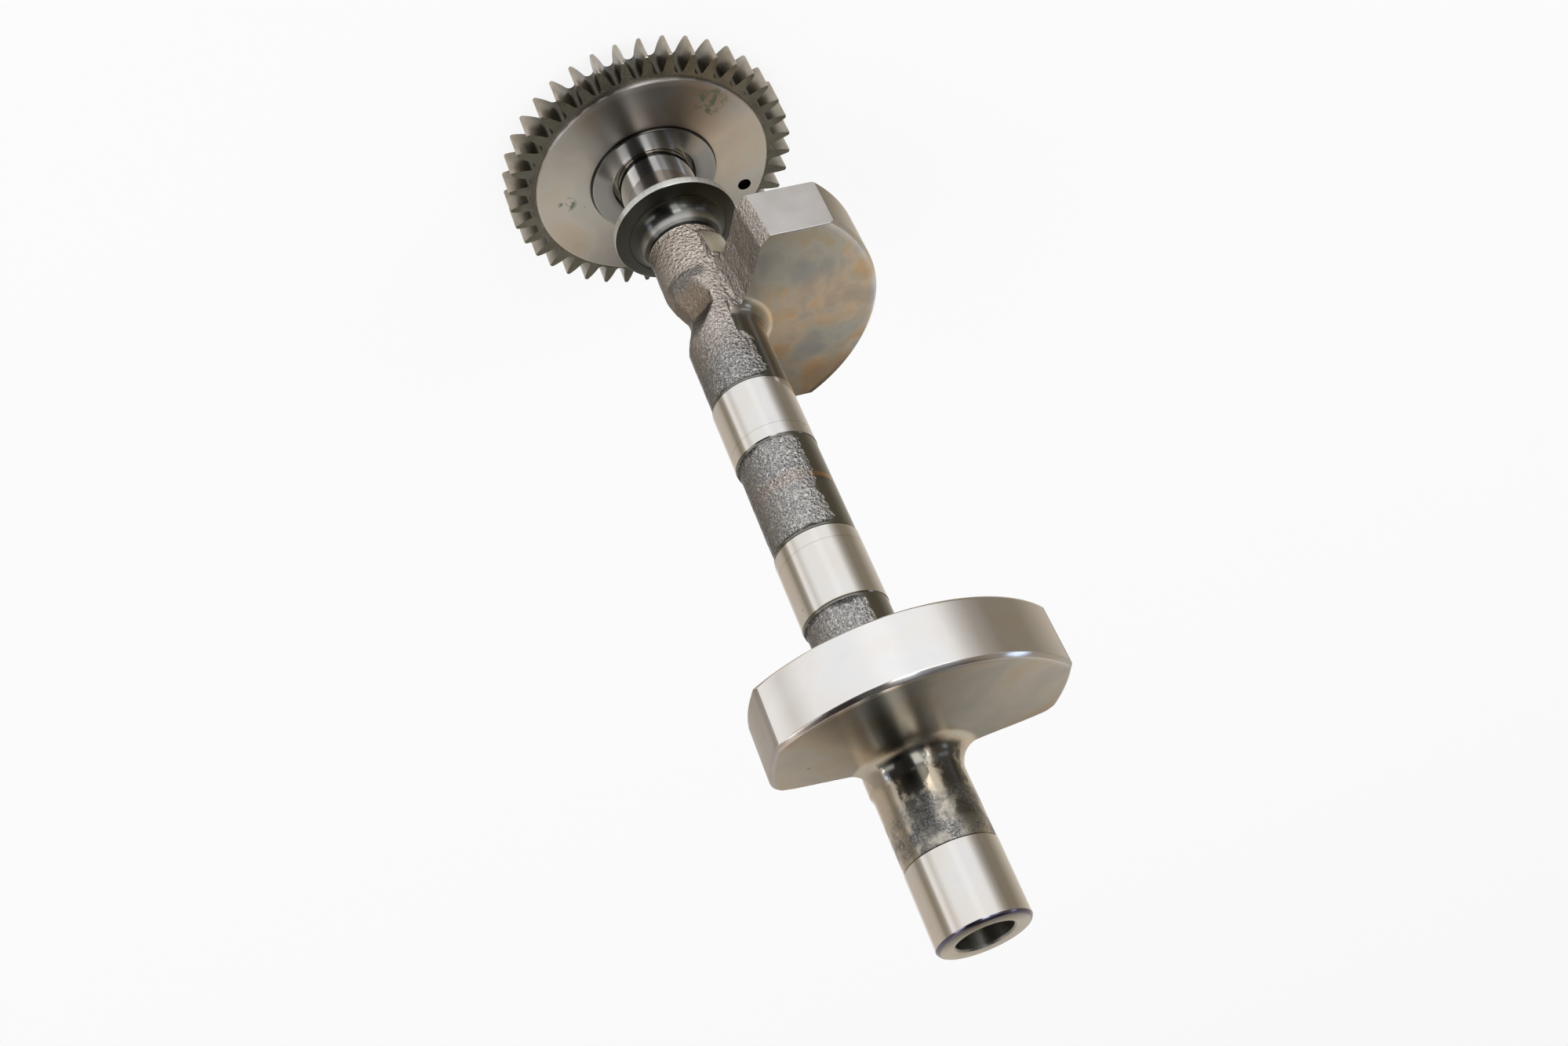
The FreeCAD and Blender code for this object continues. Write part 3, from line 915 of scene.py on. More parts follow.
# %% Heat tint
TINT, given, result = new_group(
    "heat_tint",
    [("Steel", COLOUR, (0.73, 0.7, 0.67, 1)), ("Cloud size", FLOAT, 60.0),
     ("Strength", FLOAT, 0.5), ("Shift", FLOAT, 0.0)],
    [("Colour", COLOUR)],
)
cloud = noise(given["Place"], given["Cloud size"], 4.0, 0.52, 0.5, shift=given["Shift"])
hues = ramp(cloud, [
    (0.28, (0.64, 0.71, 0.77)), (0.39, (0.84, 0.82, 0.83)), (0.46, (1.0, 0.98, 0.95)),
    (0.53, (1.0, 0.85, 0.66)), (0.61, (0.96, 0.69, 0.45)), (0.72, (0.74, 0.54, 0.50)),
])
tinted = blend(given["Steel"], hues, 1.0, "MULTIPLY")
feed(result["Colour"], blend(given["Steel"], tinted, given["Strength"]))
print("heat_tint:", len(TINT.nodes), "nodes")

# %% [markdown]
# ## Group: specks
# Small dark pits and dirt lie thinly scattered on every face. A cell pattern
# gives each cell a random colour: its red decides whether there is a speck at
# all, its green how large it is.

# %% Specks
SPECKS, given, result = new_group(
    "specks", [("Per metre", FLOAT, 300.0), ("Share", FLOAT, 0.03)], [("Mask", FLOAT)])
pits = cells(given["Place"], given["Per metre"])
chance, size, _ = split(pits.outputs["Color"])
rare = math_node("LESS_THAN", chance, given["Share"])
near = math_node("LESS_THAN", pits.outputs["Distance"], times(size, 0.22))
feed(result["Mask"], times(rare, near))
print("specks:", len(SPECKS.nodes), "nodes")

# %% [markdown]
# ## Group: forged grain
# Blasting leaves a pebbled skin on a forging. Fine noise and soft cells are
# added for its height, and broad patches tell where it was rubbed.

# %% Forged grain
GRAIN, given, result = new_group(
    "forged_grain", [("Per metre", FLOAT, 900.0)], [("Height", FLOAT), ("Patches", FLOAT)])
fine = noise(given["Place"], given["Per metre"], 4.0, 0.62)
pebbles = cells(given["Place"], given["Per metre"], feature="SMOOTH_F1")
pebbles.inputs["Smoothness"].default_value = 0.4
feed(result["Height"], math_node("ADD", fine, pebbles.outputs["Distance"]))
feed(result["Patches"], noise(given["Place"], 130.0, detail=3.0, rough=0.6))
print("forged_grain:", len(GRAIN.nodes), "nodes")

# %% [markdown]
# ## Building a finish
# Every finish is bare steel, so each starts from the same metallic shader.
# Turned faces also have a direction: their gloss spreads across the rings,
# which the shader makes from a tangent that runs round the axis.

# %% Material helpers
def new_material(label):
    """Clear a finish's material; return its shader and the place on the part."""
    material = bpy.data.materials[label]
    material.use_nodes = True
    tree = material.node_tree
    tree.nodes.clear()
    shader = put(tree, "ShaderNodeBsdfPrincipled")
    shader.inputs["Metallic"].default_value = 1.0
    feed(put(tree, "ShaderNodeOutputMaterial").inputs["Surface"], shader.outputs[0])
    return shader, put(tree, "ShaderNodeTexCoord").outputs["Object"]


def use(group, place, **values):
    """Place a group in a material and fill its inputs."""
    node = put(place.id_data, "ShaderNodeGroup", node_tree=group)
    feed(node.inputs["Place"], place)
    for label, value in values.items():
        feed(node.inputs[label.replace("_", " ")], value)
    return node.outputs


def bump(height, strength, distance, under=None):
    """Small relief, its distance in millimetres, on top of another one."""
    node = put(height.id_data, "ShaderNodeBump")
    node.inputs["Strength"].default_value = strength
    node.inputs["Distance"].default_value = distance * MM
    feed(node.inputs["Height"], height)
    if under is not None:
        feed(node.inputs["Normal"], under)
    return node.outputs[0]


def across_rings(shader, place, amount):
    """Gloss that spreads across the ring marks, as on a turned face."""
    x, y, _ = split(place)
    feed(shader.inputs["Tangent"], merge(times(y, -1.0), x))
    shader.inputs["Anisotropic"].default_value = amount
    shader.inputs["Anisotropic Rotation"].default_value = 0.25


def dress(shader, colour, roughness, normal):
    """Connect a finish's three results to its shader."""
    feed(shader.inputs["Base Color"], colour)
    feed(shader.inputs["Roughness"], roughness)
    feed(shader.inputs["Normal"], normal)
    print("finish with", len(shader.id_data.nodes), "nodes")

# %% [markdown]
# ## Ground bands
# The bearings run on these bands, so they were ground and the one beside the
# gear was lapped to a mirror. Very fine rings, few specks and two faint lines
# where the bearing shells ended are all that shows.

# %% Ground bands
WEAR_LINES = (135.35, 179.15)
shader, place = new_material("ground")
height = split(place)["Z"]
marks = use(RINGS, place, Per_mm=7.0, Wander=1.5)["Height"]
steel = use(
    TINT, place, Steel=(0.76, 0.75, 0.74), Cloud_size=45.0, Strength=0.2, Shift=1.7)
dots = use(SPECKS, place, Per_metre=420.0, Share=0.018)["Mask"]
colour = blend(steel["Colour"], (0.30, 0.25, 0.2), times(dots, 0.6))
lines = [band(height, line - 0.1, line + 0.1, 0.15) for line in WEAR_LINES]
worn = times(math_node("MAXIMUM", *lines), 0.35)
colour = blend(colour, (0.35, 0.32, 0.28), worn)
polish = ramp(height, [(36, 0.45), (42, 0.75), (270, 0.75), (276, 0.6)], (0, 300))
roughness = times(to_range(marks, 0.3, 0.75, 0.07, 0.13), polish)
dress(shader, colour, roughness, bump(marks, strength=0.25, distance=0.004))

# %% [markdown]
# ## Turned faces: the steel
# The two weights tempered to different hues, and the lower one ran hottest
# across its middle, where copper clouds came up. Their rims were cut last and
# stay bright. Flat faces show more tint than upright ones.

# %% Steel of the turned faces
shader, place = new_material("turned")
radius, height, direction = polar(place)
flat = to_range(lying_flat(place), 0.3, 0.8, 0.25, 0.88)
beyond_collar = ramp(height, [
    (57, 0.1), (63, 1.0), (105, 1.0), (180, 0.55), (300, 0.55),
], (0, 300))
face_hue = ramp(height, [
    (0, (0.60, 0.585, 0.56)), (66, (0.58, 0.57, 0.55)), (75, (0.65, 0.635, 0.575)),
    (105, (0.65, 0.635, 0.575)), (180, (0.66, 0.61, 0.52)), (300, (0.64, 0.595, 0.52)),
], (0, 300))
copper = noise(place, 62.0, detail=3.0, rough=0.55, warp=0.6)
copper = times(
    to_range(copper, 0.42, 0.60, 0.0, 0.85),
    to_range(toward(direction, -8), 0.45, 0.85), band(height, 60.0, 87.8, 1.0))
face_hue = blend(face_hue, (0.86, 0.69, 0.52), copper)
steel = blend(face_hue, (0.825, 0.82, 0.82), band(radius, 51.8, FAR, 1.8))
tinted = use(
    TINT, place, Steel=steel, Cloud_size=50.0, Strength=times(flat, beyond_collar),
    Shift=4.1)
colour = tinted["Colour"]

# %% [markdown]
# ## Turned faces: skins from the heat, and painted shade in the hollow
# The slim shank kept a thin dark skin, with one brown band where the shaft was hot. The collar's
# dished front and the hollow beyond it are darkened with painted shade. Ramps along the height, in
# millimetres, say how dark it is and of which colour.

# %% Dark skins and painted shade in the hollow
# Painted shade: the collar's dished front and the hollow beyond it go near black
painted_hollow_shade = ramp(height, [
    (37.5, 0.0), (38.1, 1.0), (41.4, 0.95), (43.8, 0.42),
    (45.9, 0.08), (47.1, 0.78), (48.9, 0.5), (53.4, 0.0),
], (36, 66))
colour = blend(colour, (0.05, 0.052, 0.044), painted_hollow_shade)
near_axis = band(radius, -FAR, 15.2, 1.2)
shank_skin = ramp(height, [
    (80, 0.35), (86.6, 0.45), (91, 0.85), (110.8, 0.92), (179, 0.92),
    (216.4, 0.85), (242.8, 0.70), (247.2, 0.06), (273.6, 0.10), (276.9, 0.0),
], (80, 300))
skin_colour = ramp(height, [
    (150, (0.19, 0.19, 0.17)), (154.56, (0.19, 0.18, 0.16)), (155.4, (0.45, 0.27, 0.12)),
    (156.24, (0.42, 0.25, 0.12)), (157.2, 0.12), (159, (0.19, 0.19, 0.17)),
], (150, 162))
skin_share = times(near_axis, shank_skin, band(height, 84.0, FAR, 6.0))
colour = blend(colour, skin_colour, skin_share)

# %% [markdown]
# ## Turned faces: the last neck
# Here the dark skin was rubbed away. Two dark strips beside the neck's highlight are painted
# reflections. Each is a range of compass angle with a border made uneven by noise, and the left
# one narrows towards the free end.

# %% Painted dark strips on the last neck
# Painted reflections: two dark strips on the last neck, their borders made uneven by noise
uneven_border = to_range(noise(place, 260.0, rough=0.6), 0.35, 0.65, -0.035, 0.035)
narrowing = to_range(height, 0.2505, 0.2600, 0.900, 0.962)
left = math_node("SUBTRACT", toward(direction, 113), narrowing)
left = to_range(math_node("ADD", left, uneven_border), 0.0, 0.022)
right = to_range(math_node("ADD", toward(direction, 60), uneven_border), 0.925, 0.965)
painted_dark_strips = times(
    math_node("MAXIMUM", left, right), band(height, 249.0, 268.0, 4.0), near_axis, 0.88)
colour = blend(colour, (0.085, 0.09, 0.08), painted_dark_strips)

# %% [markdown]
# ## Turned faces: the fan of the feed marks
# Fine feed marks throw the light in a fan, bright to one side and dark to the
# other. Part of that fan mirrors things beside the photographer's table, so it
# is painted: a dark sector on the flange and one on the upper weight's face.

# %% Dark sectors
HEAD = (-FAR, 16.0, 2.0)
# Painted reflection: a dark sector of the fan on the flange
painted_dark_sector = to_range(toward(direction, 92), 0.55, 1.0, 1.0, 0.30)
flange_steel = blend(painted_dark_sector, (0.58, 0.58, 0.57), 1.0, "MULTIPLY")
on_flange = zone(radius, height, (14.7, 22.2, 0.4), HEAD)
colour = blend(colour, flange_steel, on_flange)
on_face = zone(radius, height, (15.0, 49.5, 1.2), (247.0, 247.8, 0.5))
fan = times(to_range(toward(direction, 111), 0.93, 1.0), on_face)
colour = blend(colour, blend(colour, (0.40, 0.42, 0.42), 1.0, "MULTIPLY"), fan)

# %% [markdown]
# ## Turned faces: marks by zone
# The rest are rings of one colour each; some are painted shade and painted highlights. A table
# holds them in the order in which they cover each other: radius from, to and softness, height the
# same, how strongly it covers, and the colour.

# %% Marks by zone
COLLAR = (34.0, 37.9, 0.2)
BORE = (-FAR, 8.3, 0.3), (265.0, FAR, 5.0)
for radii, heights, share, mark in (
    # Green-grey skin of the collar, painted shade on its underside and a painted highlight on its
    # rim
    ((16.0, FAR, 1.0), COLLAR, 1.0, (0.56, 0.565, 0.51)),
    ((16.0, FAR, 1.0), (34.0, 35.3, 0.2), 1.0, (0.16, 0.16, 0.15)),
    ((20.8, FAR, 0.8), COLLAR, 1.0, (0.80, 0.80, 0.77)),
    # Dark joint round the flange
    ((22.1, 23.0, 0.1), HEAD, 1.0, (0.10, 0.095, 0.09)),
    # Straw colour on the pad, and a painted dark blue reflection on the bevel round the free end
    ((13.8, 17.2, 0.4), (52.5, 66.0, 1.0), 0.8, (0.60, 0.54, 0.38)),
    ((12.5, FAR, 0.3), (295.7, FAR, 0.3), 1.0, (0.20, 0.19, 0.26)),
    # Painted shade in the bore; a grey-brown floor in the groove at the flange, and a painted
    # shadow on its outer wall
    (*BORE, 1.0, (0.34, 0.33, 0.29)),
    ((12.5, 14.6, 0.2), (-FAR, 12.1, 0.3), 1.0, (0.42, 0.40, 0.36)),
    ((14.4, 14.9, 0.1), HEAD, 1.0, (0.09, 0.085, 0.08)),
):
    colour = blend(colour, mark, times(zone(radius, height, radii, heights), share))
dots = use(SPECKS, place, Per_metre=260.0, Share=0.02)["Mask"]
colour = blend(colour, (0.16, 0.13, 0.1), times(dots, 0.55))

# %% [markdown]
# ## Turned faces: scale and gloss
# Cloudy dark scale is left at the end of the last neck, dull and sparkling.
# Faces were cut with a coarser feed than rims and necks, so they spread the
# light more. The ring marks themselves are almost too fine to see.

# %% Scale and gloss
scale = to_range(noise(place, 170.0, detail=4.0, rough=0.62), 0.36, 0.60)
scale = times(scale, band(height, 263.5, 274.2, 5.0), near_axis)
sparkle = noise(place, 2200.0, detail=2.0, rough=0.6)
scale_colour = ramp(sparkle, [
    (0.40, 0.13), (0.56, (0.28, 0.28, 0.27)), (0.70, (0.56, 0.55, 0.54)),
])
colour = blend(colour, scale_colour, scale)
spread = ramp(radius, [
    (12, 0.17), (14.15, 0.17), (17.16, 0.28), (49.84, 0.28), (51.99, 0.15), (55, 0.15),
], (12, 55))
spread = math_node("ADD", spread, times(zone(radius, height, *BORE), 0.12))
spread = times(spread, to_range(height, 0.016, 0.018, 0.75, 1.0))
spread = math_node("ADD", spread, times(scale, 0.22))
marks = use(RINGS, place, Per_mm=9.0, Wander=0.8)["Height"]
roughness = math_node("ADD", spread, to_range(marks, 0.3, 0.75, -0.006, 0.012))
relief = bump(times(scale, sparkle), strength=0.6, distance=0.06)
dress(shader, colour, roughness, bump(marks, strength=0.05, distance=0.0015, under=relief))
across_rings(shader, place, 0.75)

# %% [markdown]
# ## Forged skin: the scale along the shaft
# The skin is brown near the gear and blue-black further on, with one rusty
# ring in the middle. Blasting rubbed the tops of the grain bright. A ramp
# along the height gives the colour, and the grain gives its tops.

# %% Colour of the forged skin
shader, place = new_material("forged")
radius, height, direction = polar(place)
grain = use(GRAIN, place, Per_metre=2300.0)
coarse = use(GRAIN, place, Per_metre=950.0)
uneven = to_range(grain["Patches"], 0.0, 1.0, -0.003, 0.003)
wavy = math_node("ADD", height, uneven)
colour = ramp(wavy, [
    (40, (0.25, 0.19, 0.15)), (52, (0.60, 0.47, 0.36)), (68.8, (0.58, 0.48, 0.40)),
    (88, (0.45, 0.375, 0.31)), (100.48, (0.19, 0.15, 0.13)), (106, (0.115, 0.12, 0.125)),
    (136, (0.14, 0.145, 0.145)), (152.8, 0.15), (154.72, (0.21, 0.145, 0.115)),
    (156.64, (0.21, 0.145, 0.115)), (158.56, 0.15), (184, (0.14, 0.145, 0.145)),
    (220, 0.18), (246.4, (0.18, 0.16, 0.14)), (260.8, (0.18, 0.16, 0.15)), (280, 0.16),
], (40, 280))
for mask, share, rubbed in (
    (to_range(grain["Patches"], 0.38, 0.68), 0.25, (0.36, 0.33, 0.30)),
    (to_range(coarse["Height"], 1.04, 1.28), 0.42, (0.62, 0.58, 0.54)),
    (to_range(grain["Height"], 1.08, 1.30), 0.7, (0.86, 0.83, 0.79)),
):
    colour = blend(colour, rubbed, times(mask, share))
lifted = blend(colour, (0.45, 0.45, 0.45), 1.0, "ADD")
colour = blend(colour, lifted, 0.36)

# %% [markdown]
# ## Forged skin: scoop, painted shade and edge
# The scoop beside the pad came out of the die smoother, with painted shade on its shoulder. The
# colour sinks, as painted shade, where the skin turns away from the view. Painted shade also sits
# in the corner beside each ground band.

# %% Scoop, painted side shade and painted corner shade
in_scoop = zone(radius, height, (-FAR, 11.0, 1.1), (71.5, 90.5, 1.5))
colour = blend(colour, (0.31, 0.235, 0.165), times(in_scoop, 0.75))
# Painted shade on the scoop's shoulder
painted_shoulder_shade = times(
    zone(radius, height, (-FAR, 12.8, 0.8), (67.2, 70.0, 1.8)),
    to_range(toward(direction, 130), 0.70, 0.86), 0.62)
colour = blend(colour, (0.06, 0.06, 0.065), painted_shoulder_shade)
# Painted shade: the colour sinks where the skin turns away from the view
grazing = put(place.id_data, "ShaderNodeLayerWeight")
grazing.inputs["Blend"].default_value = 0.35
painted_side_shade = to_range(grazing.outputs["Facing"], 0.12, 0.62, 0.0, 0.85)
colour = blend(colour, (0.03, 0.028, 0.026), painted_side_shade)
# Painted shade in the corner beside each ground band
corners = [band(wavy, end - 0.9, end + 0.9, 1.1) for end in (
    *JOURNAL_2, *JOURNAL_3, JOURNAL_4_START)]
painted_corner_shade = corners[0]
for corner in corners[1:]:
    painted_corner_shade = math_node("MAXIMUM", painted_corner_shade, corner)
colour = blend(colour, (0.035, 0.035, 0.035), times(painted_corner_shade, 0.8))
roughness = to_range(grain["Patches"], 0.3, 0.7, 0.20, 0.31)
calm = to_range(in_scoop, 0.0, 1.0, 1.0, 0.45)
pebbled = bump(times(coarse["Height"], calm), strength=0.9, distance=0.50)
dress(shader, colour, roughness, bump(grain["Height"], strength=0.8, distance=0.12, under=pebbled))

# %% [markdown]
# ## Milled flanks
# A face mill leaves a plain dull grey with no direction to it. Fine noise
# gives its tooth, broad noise keeps it from looking painted.

# %% Milled flanks
shader, place = new_material("milled")
fine = noise(place, 2600.0, rough=0.6)
colour = ramp(noise(place, 90.0), [
    (0.35, (0.50, 0.475, 0.455)), (0.65, (0.58, 0.555, 0.54)),
])
dots = use(SPECKS, place, Per_metre=300.0, Share=0.04)["Mask"]
colour = blend(colour, (0.18, 0.15, 0.12), times(dots, 0.7))
roughness = to_range(fine, 0.3, 0.7, 0.34, 0.46)
dress(shader, colour, roughness, bump(fine, strength=0.3, distance=0.02))

# %% [markdown]
# ## Faced web of the gear
# The web was faced with a coarse feed. Its fan of light and dark, as on the flange, is painted: a
# dark sector of painted reflection. It has a pale outer edge, a dark joint at its seat and finger
# marks in green assembly grease, each a soft round patch of streaky noise.

# %% Faced web
GREASE = [(0.020, 0.029, 0.0066), (-0.031, -0.004, 0.0036)]
shader, place = new_material("faced_web")
radius, _, direction = polar(place)
marks = use(RINGS, place, Per_mm=9.0, Wander=0.8)["Height"]
steel = use(
    TINT, place, Steel=(0.72, 0.695, 0.645), Cloud_size=34.0, Strength=0.4, Shift=7.3)
dots = use(SPECKS, place, Per_metre=240.0, Share=0.02)["Mask"]
colour = blend(steel["Colour"], (0.2, 0.16, 0.14), times(dots, 0.5))
colour = blend(colour, (0.10, 0.095, 0.09), band(radius, -FAR, 22.65, 0.15))
# Painted reflection: a dark sector of the fan, multiplied over the web's colour
painted_dark_sector = to_range(toward(direction, 90), 0.50, 1.0, 1.0, 0.34)
colour = blend(colour, painted_dark_sector, 1.0, "MULTIPLY")
outer = times(band(radius, 41.3, FAR, 2.8), 0.35)
colour = blend(colour, (0.74, 0.66, 0.63), outer)
streaky = noise(place, 250.0, rough=0.6, warp=1.0)
smear = to_range(streaky, 0.47, 0.56, 0.0, 0.9)
for x, y, reach in GREASE:
    away = vector_math("DISTANCE", place, (x, y, WEB_TOP * MM))
    near = to_range(away, reach * 0.6, reach, 1.0, 0.0)
    colour = blend(colour, (0.17, 0.23, 0.18), times(near, smear))
roughness = to_range(marks, 0.3, 0.75, 0.34, 0.38)
dress(shader, colour, roughness, bump(marks, strength=0.06, distance=0.002))
across_rings(shader, place, 0.95)

# %% [markdown]
# ## Hobbed teeth
# A hob shaves each flank in long strokes along the tooth, so the noise is stretched along the
# axis. The flanks are warm, and painted shade darkens them towards the root. The timing hole is
# painted nearly black, as shade.

# %% Hobbed teeth
def squeezed(place, along_axis):
    """The place with its height squeezed, to draw a pattern out along the axis."""
    stretch = put(place.id_data, "ShaderNodeMapping")
    stretch.inputs["Scale"].default_value = (1.0, 1.0, along_axis)
    feed(stretch.inputs["Vector"], place)
    return stretch.outputs[0]


shader, place = new_material("hobbed_teeth")
front = to_range(lying_flat(place), 0.5, 0.9)
streaks = noise(squeezed(place, 0.12), 1500.0, detail=2.0)
cloud = noise(place, 160.0)
flank = ramp(cloud, [(0.35, (0.33, 0.285, 0.22)), (0.65, (0.45, 0.405, 0.34))])
face = ramp(cloud, [(0.35, (0.19, 0.18, 0.145)), (0.65, (0.26, 0.25, 0.205))])
from_axis = squeezed(place, 0.0)
radius = vector_math("LENGTH", from_axis)
# Painted shade: flanks darken towards the root between the teeth
depth = ramp(radius, [(43, 0.22), (46.42, 0.42), (TIP_R, 1.0)], (43, TIP_R))
colour = blend(blend(flank, depth, 1.0, "MULTIPLY"), face, front)
# Painted shade: the timing hole nearly black
away = vector_math("DISTANCE", from_axis, (HOLE_AT[0] * MM, HOLE_AT[1] * MM, 0.0))
colour = blend(colour, (0.04, 0.035, 0.03), band(away, -FAR, HOLE_R + 0.05, 0.15))
roughness = to_range(streaks, 0.3, 0.7, 0.24, 0.36)
dress(shader, colour, roughness, bump(streaks, strength=0.2, distance=0.01))

# %% [markdown]
# ## Floor
# The photo was taken on white paper that shows no shadow. Looked at directly,
# or in a reflection, the floor glows almost white; to light that falls on it,
# it is plain white paper.

# %% Floor
def stage_tree(thing, label):
    """Give a stage piece an empty material and return its node tree."""
    paint = bpy.data.materials.new(label)
    paint.use_nodes = True
    paint.node_tree.nodes.clear()
    thing.data.materials.append(paint)
    return paint.node_tree


def seen_directly(tree):
    """One for rays from the camera, also by way of a mirror or glass."""
    path = put(tree, "ShaderNodeLightPath").outputs
    seen = math_node("MAXIMUM", path["Is Camera Ray"], path["Is Glossy Ray"])
    return math_node("MAXIMUM", seen, path["Is Transmission Ray"])


def mix_shaders(tree, share, first, second, output):
    """Mix two shaders by a share and show the result."""
    mix = put(tree, "ShaderNodeMixShader")
    for socket, value in zip(mix.inputs, (share, first.outputs[0], second.outputs[0])):
        feed(socket, value)
    feed(put(tree, output).inputs["Surface"], mix.outputs[0])


PAPER = 0.86
bpy.ops.mesh.primitive_plane_add(size=16, location=(0, 0, -0.0002))
floor = settle(bpy.context.object, "floor")
tree = stage_tree(floor, "floor_paint")
paper = put(tree, "ShaderNodeBsdfDiffuse")
paper.inputs["Color"].default_value = (PAPER, PAPER, PAPER, 1)
glow = put(tree, "ShaderNodeEmission")
mix_shaders(
    tree, times(seen_directly(tree), PAPER), paper, glow, "ShaderNodeOutputMaterial")

# %% [markdown]
# ## Room
# The room is white where it is seen and a little dimmer as a source of light,
# so the part keeps its shadows soft and its dark skin dark.

# %% Room
world = bpy.data.worlds.new("room")
bpy.context.scene.world = world
world.use_nodes = True
tree = world.node_tree
tree.nodes.clear()
room_white = put(tree, "ShaderNodeBackground")
room_white.inputs["Color"].default_value = (1, 1, 1, 1)
room_light = put(tree, "ShaderNodeBackground")
room_light.inputs["Strength"].default_value = 0.75
mix_shaders(tree, seen_directly(tree), room_light, room_white, "ShaderNodeOutputWorld")
print("room light:", room_light.inputs["Strength"].default_value)

# %% [markdown]
# ## A card round the foot
# Bright steel shows what stands round it. A flat ring on the floor, which only
# reflections see, holds the grey and brown things beside the photographer's
# table. Its glow goes by compass angle: what a mirror facing there would show.

# %% Ring card
CARD_HEIGHT = 0.0004
FLOOR_GLOW = [
    (-180, (0.37, 0.34, 0.29)), (-173, (0.29, 0.255, 0.20)), (-167, (0.33, 0.29, 0.23)),
    (-160, (0.48, 0.44, 0.37)), (-147, (0.58, 0.52, 0.45)), (-111, (0.60, 0.54, 0.47)),
    (-98, (0.80, 0.76, 0.72)), (-84, (0.90, 0.88, 0.85)), (-66, (0.92, 0.90, 0.87)),
    (-55, (0.76, 0.73, 0.68)), (-42, (0.63, 0.59, 0.53)), (-30, (0.58, 0.53, 0.45)),
    (-18, (0.48, 0.42, 0.34)), (-6, (0.36, 0.32, 0.26)), (6, (0.26, 0.225, 0.17)),
    (30, (0.25, 0.215, 0.165)), (42, (0.38, 0.35, 0.31)), (51, (0.62, 0.60, 0.57)),
    (60, (0.95, 0.94, 0.93)), (68, 1.0), (84, 1.0), (92, 1.07), (100, 1.07), (109, 1.0),
    (142, 0.98), (150, (0.84, 0.83, 0.81)), (156, (0.74, 0.72, 0.69)),
    (162, (0.88, 0.87, 0.85)), (169, (1.0, 0.99, 0.97)), (173, (0.80, 0.77, 0.72)),
    (177, (0.46, 0.43, 0.39)), (180, (0.37, 0.34, 0.29)),
]
bpy.ops.mesh.primitive_circle_add(
    vertices=96, radius=0.06, fill_type="NOTHING", location=(0, 0, CARD_HEIGHT))
ring_card = settle(bpy.context.object, "ring_card")
edit(ring_card)
bpy.ops.mesh.extrude_edges_move()
bpy.ops.transform.resize(value=(60, 60, 1), center_override=(0, 0, CARD_HEIGHT))
leave_edit()
print("glow stops:", len(FLOOR_GLOW))

# %% [markdown]
# ## Painting a card
# A card gives off its colours like a lit wall but is hidden from the camera
# and casts no light or shadow. The ring also takes the dark wall that starts
# on the floor, far off on one side.

# %% Glow of a card
DARK_WALL = (0.12, 0.115, 0.11)


def turns(degrees):
    """A compass angle as a share of the full turn, counted from -180."""
    return (degrees + 180) / 360


def card(thing, stops):
    """Make a card that only reflections see, its glow told by compass angle."""
    tree = stage_tree(thing, thing.name)
    place = put(tree, "ShaderNodeTexCoord").outputs["Object"]
    compass = put(tree, "ShaderNodeTexGradient", gradient_type="RADIAL")
    feed(compass.inputs[0], place)
    angle = compass.outputs["Fac"]
    colour = ramp(angle, [(turns(degrees), glow) for degrees, glow in stops])
    glow = put(tree, "ShaderNodeEmission")
    feed(put(tree, "ShaderNodeOutputMaterial").inputs["Surface"], glow.outputs[0])
    for rays in ("camera", "diffuse", "transmission", "shadow"):
        setattr(thing, "visible_" + rays, False)
    return place, angle, colour, glow.inputs["Color"]


place, angle, colour, glow = card(ring_card, FLOOR_GLOW)
far_off = to_range(vector_math("LENGTH", place), 1.15, 1.35)
wall = times(far_off, window(angle, turns(112), turns(164), 0.01))
feed(glow, blend(colour, DARK_WALL, wall))

# %% [markdown]
# ## A dome over the part
# The upper half of the surroundings is a dome, again for reflections alone.
# Its walls glow by compass angle and darken to an unlit ceiling. Doorway, lamp
# panel and windows are panes: a stretch of compass angle and of height.

# %% Dome
DOME_R = 3.4
DOME_SIDES = [
    (-180, (0.30, 0.27, 0.24)), (-150, (0.42, 0.39, 0.35)), (-125, (0.64, 0.60, 0.54)),
    (-95, (0.70, 0.66, 0.60)), (-50, (0.72, 0.69, 0.64)), (-25, (0.46, 0.42, 0.36)),
    (0, (0.30, 0.27, 0.23)), (38, (0.26, 0.23, 0.20)), (58, (0.85, 0.84, 0.82)),
    (68, 1.0), (111, 1.0), (116, DARK_WALL), (158, DARK_WALL),
    (170, (0.42, 0.39, 0.35)), (180, (0.34, 0.31, 0.27)),
]
# From and to in compass angle, then in share of the dome's height
PANES = [
    (-77, -68, 0.39, 0.86, 0.012, (0.030, 0.030, 0.027)),
    (-74, -44, 0.86, 1.20, 0.020, (0.022, 0.022, 0.020)),
    (-180, -92, 0.80, 1.20, 0.020, (0.62, 0.58, 0.53)),
    (98, 124, -0.10, 1.20, 0.010, (0.08, 0.078, 0.075)),
    (59, 72, 0.50, 0.68, 0.010, (2.8, 2.8, 2.85)),
    (78, 95, 0.25, 0.84, 0.010, (3.6, 3.6, 3.7)),
    (14, 36, 0.20, 0.36, 0.012, (0.75, 0.80, 1.0)),
    (5, 13, 0.56, 0.68, 0.008, (1.2, 1.4, 1.9)),
    (164, 172, 0.12, 0.50, 0.012, (1.0, 1.1, 1.4)),
    (148, 176, 0.60, 0.76, 0.010, (2.0, 2.0, 2.05)),
]
bpy.ops.mesh.primitive_uv_sphere_add(
    segments=64, ring_count=32, radius=DOME_R, location=(0, 0, 0))
dome = settle(bpy.context.object, "dome_card")
edit(dome)
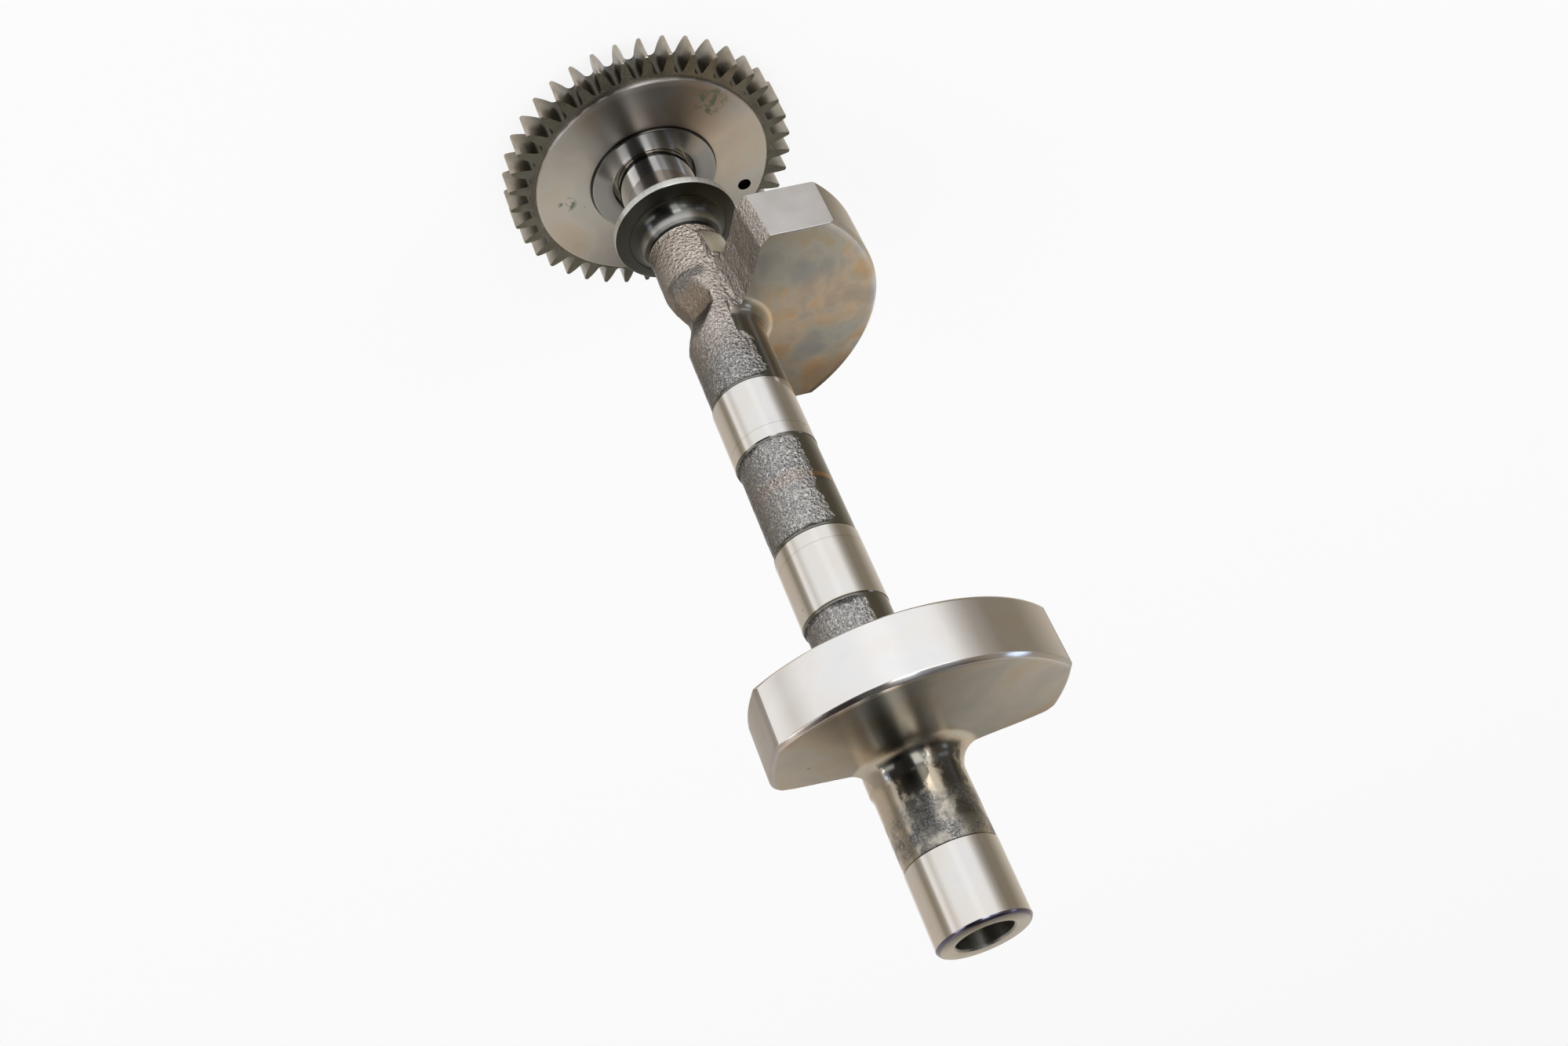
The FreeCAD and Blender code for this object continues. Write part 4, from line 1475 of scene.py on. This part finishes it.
bpy.ops.mesh.bisect(plane_co=(0, 0, 0.01), plane_no=(0, 0, 1), clear_inner=True)
leave_edit()
place, angle, sides, glow = card(dome, DOME_SIDES)
level = math_node("DIVIDE", split(place)["Z"], DOME_R)
fade = ramp(level, [
    (0.0, 1.0), (0.76, 1.0), (0.86, (0.16, 0.17, 0.20)), (1.0, (0.08, 0.085, 0.10)),
])
shown = blend(sides, fade, 1.0, "MULTIPLY")
for start, end, bottom, top, soft, colour in PANES:
    pane = times(
        window(angle, turns(start), turns(end), soft), window(level, bottom, top, 0.03))
    shown = blend(shown, colour, pane)
feed(glow, shown)

# %% [markdown]
# ## Lamps
# Two broad lamps from both sides lift the matt skin of the forging. The bright
# steel doesn't mirror them, since the cards already show it a room.

# %% Lamps
LAMP_SIZE = 1.4
SHAFT_MIDDLE = Vector((0, 0, 0.12))


def lamp(label, place, watts):
    data = bpy.data.lights.new(label, "AREA")
    data.shape = "DISK"
    data.size = LAMP_SIZE
    data.energy = watts
    thing = bpy.data.objects.new(label, data)
    bpy.context.scene.collection.objects.link(thing)
    thing.location = place
    aim = SHAFT_MIDDLE - Vector(place)
    thing.rotation_euler = aim.to_track_quat("-Z", "Y").to_euler()
    thing.visible_glossy = False
    print(label, watts, "W")


lamp("left_lamp", (-1.3, 0.8, 1.7), watts=14)
lamp("right_lamp", (1.4, 0.9, 1.6), watts=10)

# %% [markdown]
# ## Camera
# The camera stands where the photographer held theirs. Its place, tilt and
# lens come from a fit to the gear's circles, the journals and the weights.

# %% Camera
camera_data = bpy.data.cameras.new("camera")
camera = bpy.data.objects.new("camera", camera_data)
bpy.context.scene.collection.objects.link(camera)
camera.location = (-0.114921, 0.373736, 0.404566)
camera.rotation_euler = tuple(math.radians(a) for a in (-55.90014183, -19.55976561, 3.5))
camera_data.lens = 35.773
camera_data.sensor_width = 36.0
camera_data.sensor_fit = "HORIZONTAL"
camera_data.clip_start = 0.01
bpy.context.scene.camera = camera
bpy.context.scene.view_settings.view_transform = "Standard"
print("lens:", camera_data.lens, "mm")

# %% [markdown]
# ## Hand the pieces over
# Each finished piece takes the place of its solid, which is hidden. Nothing on this part moves, so
# both ride on the root.

# %% Hand the pieces over
for piece, node, finish in (
    (shaft, "balance_shaft", "shaft_steel"), (gear, "drive_gear", "gear_steel"),
):
    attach(piece, "root")
    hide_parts(node)
print("made in", round(time.time() - started, 1), "s")
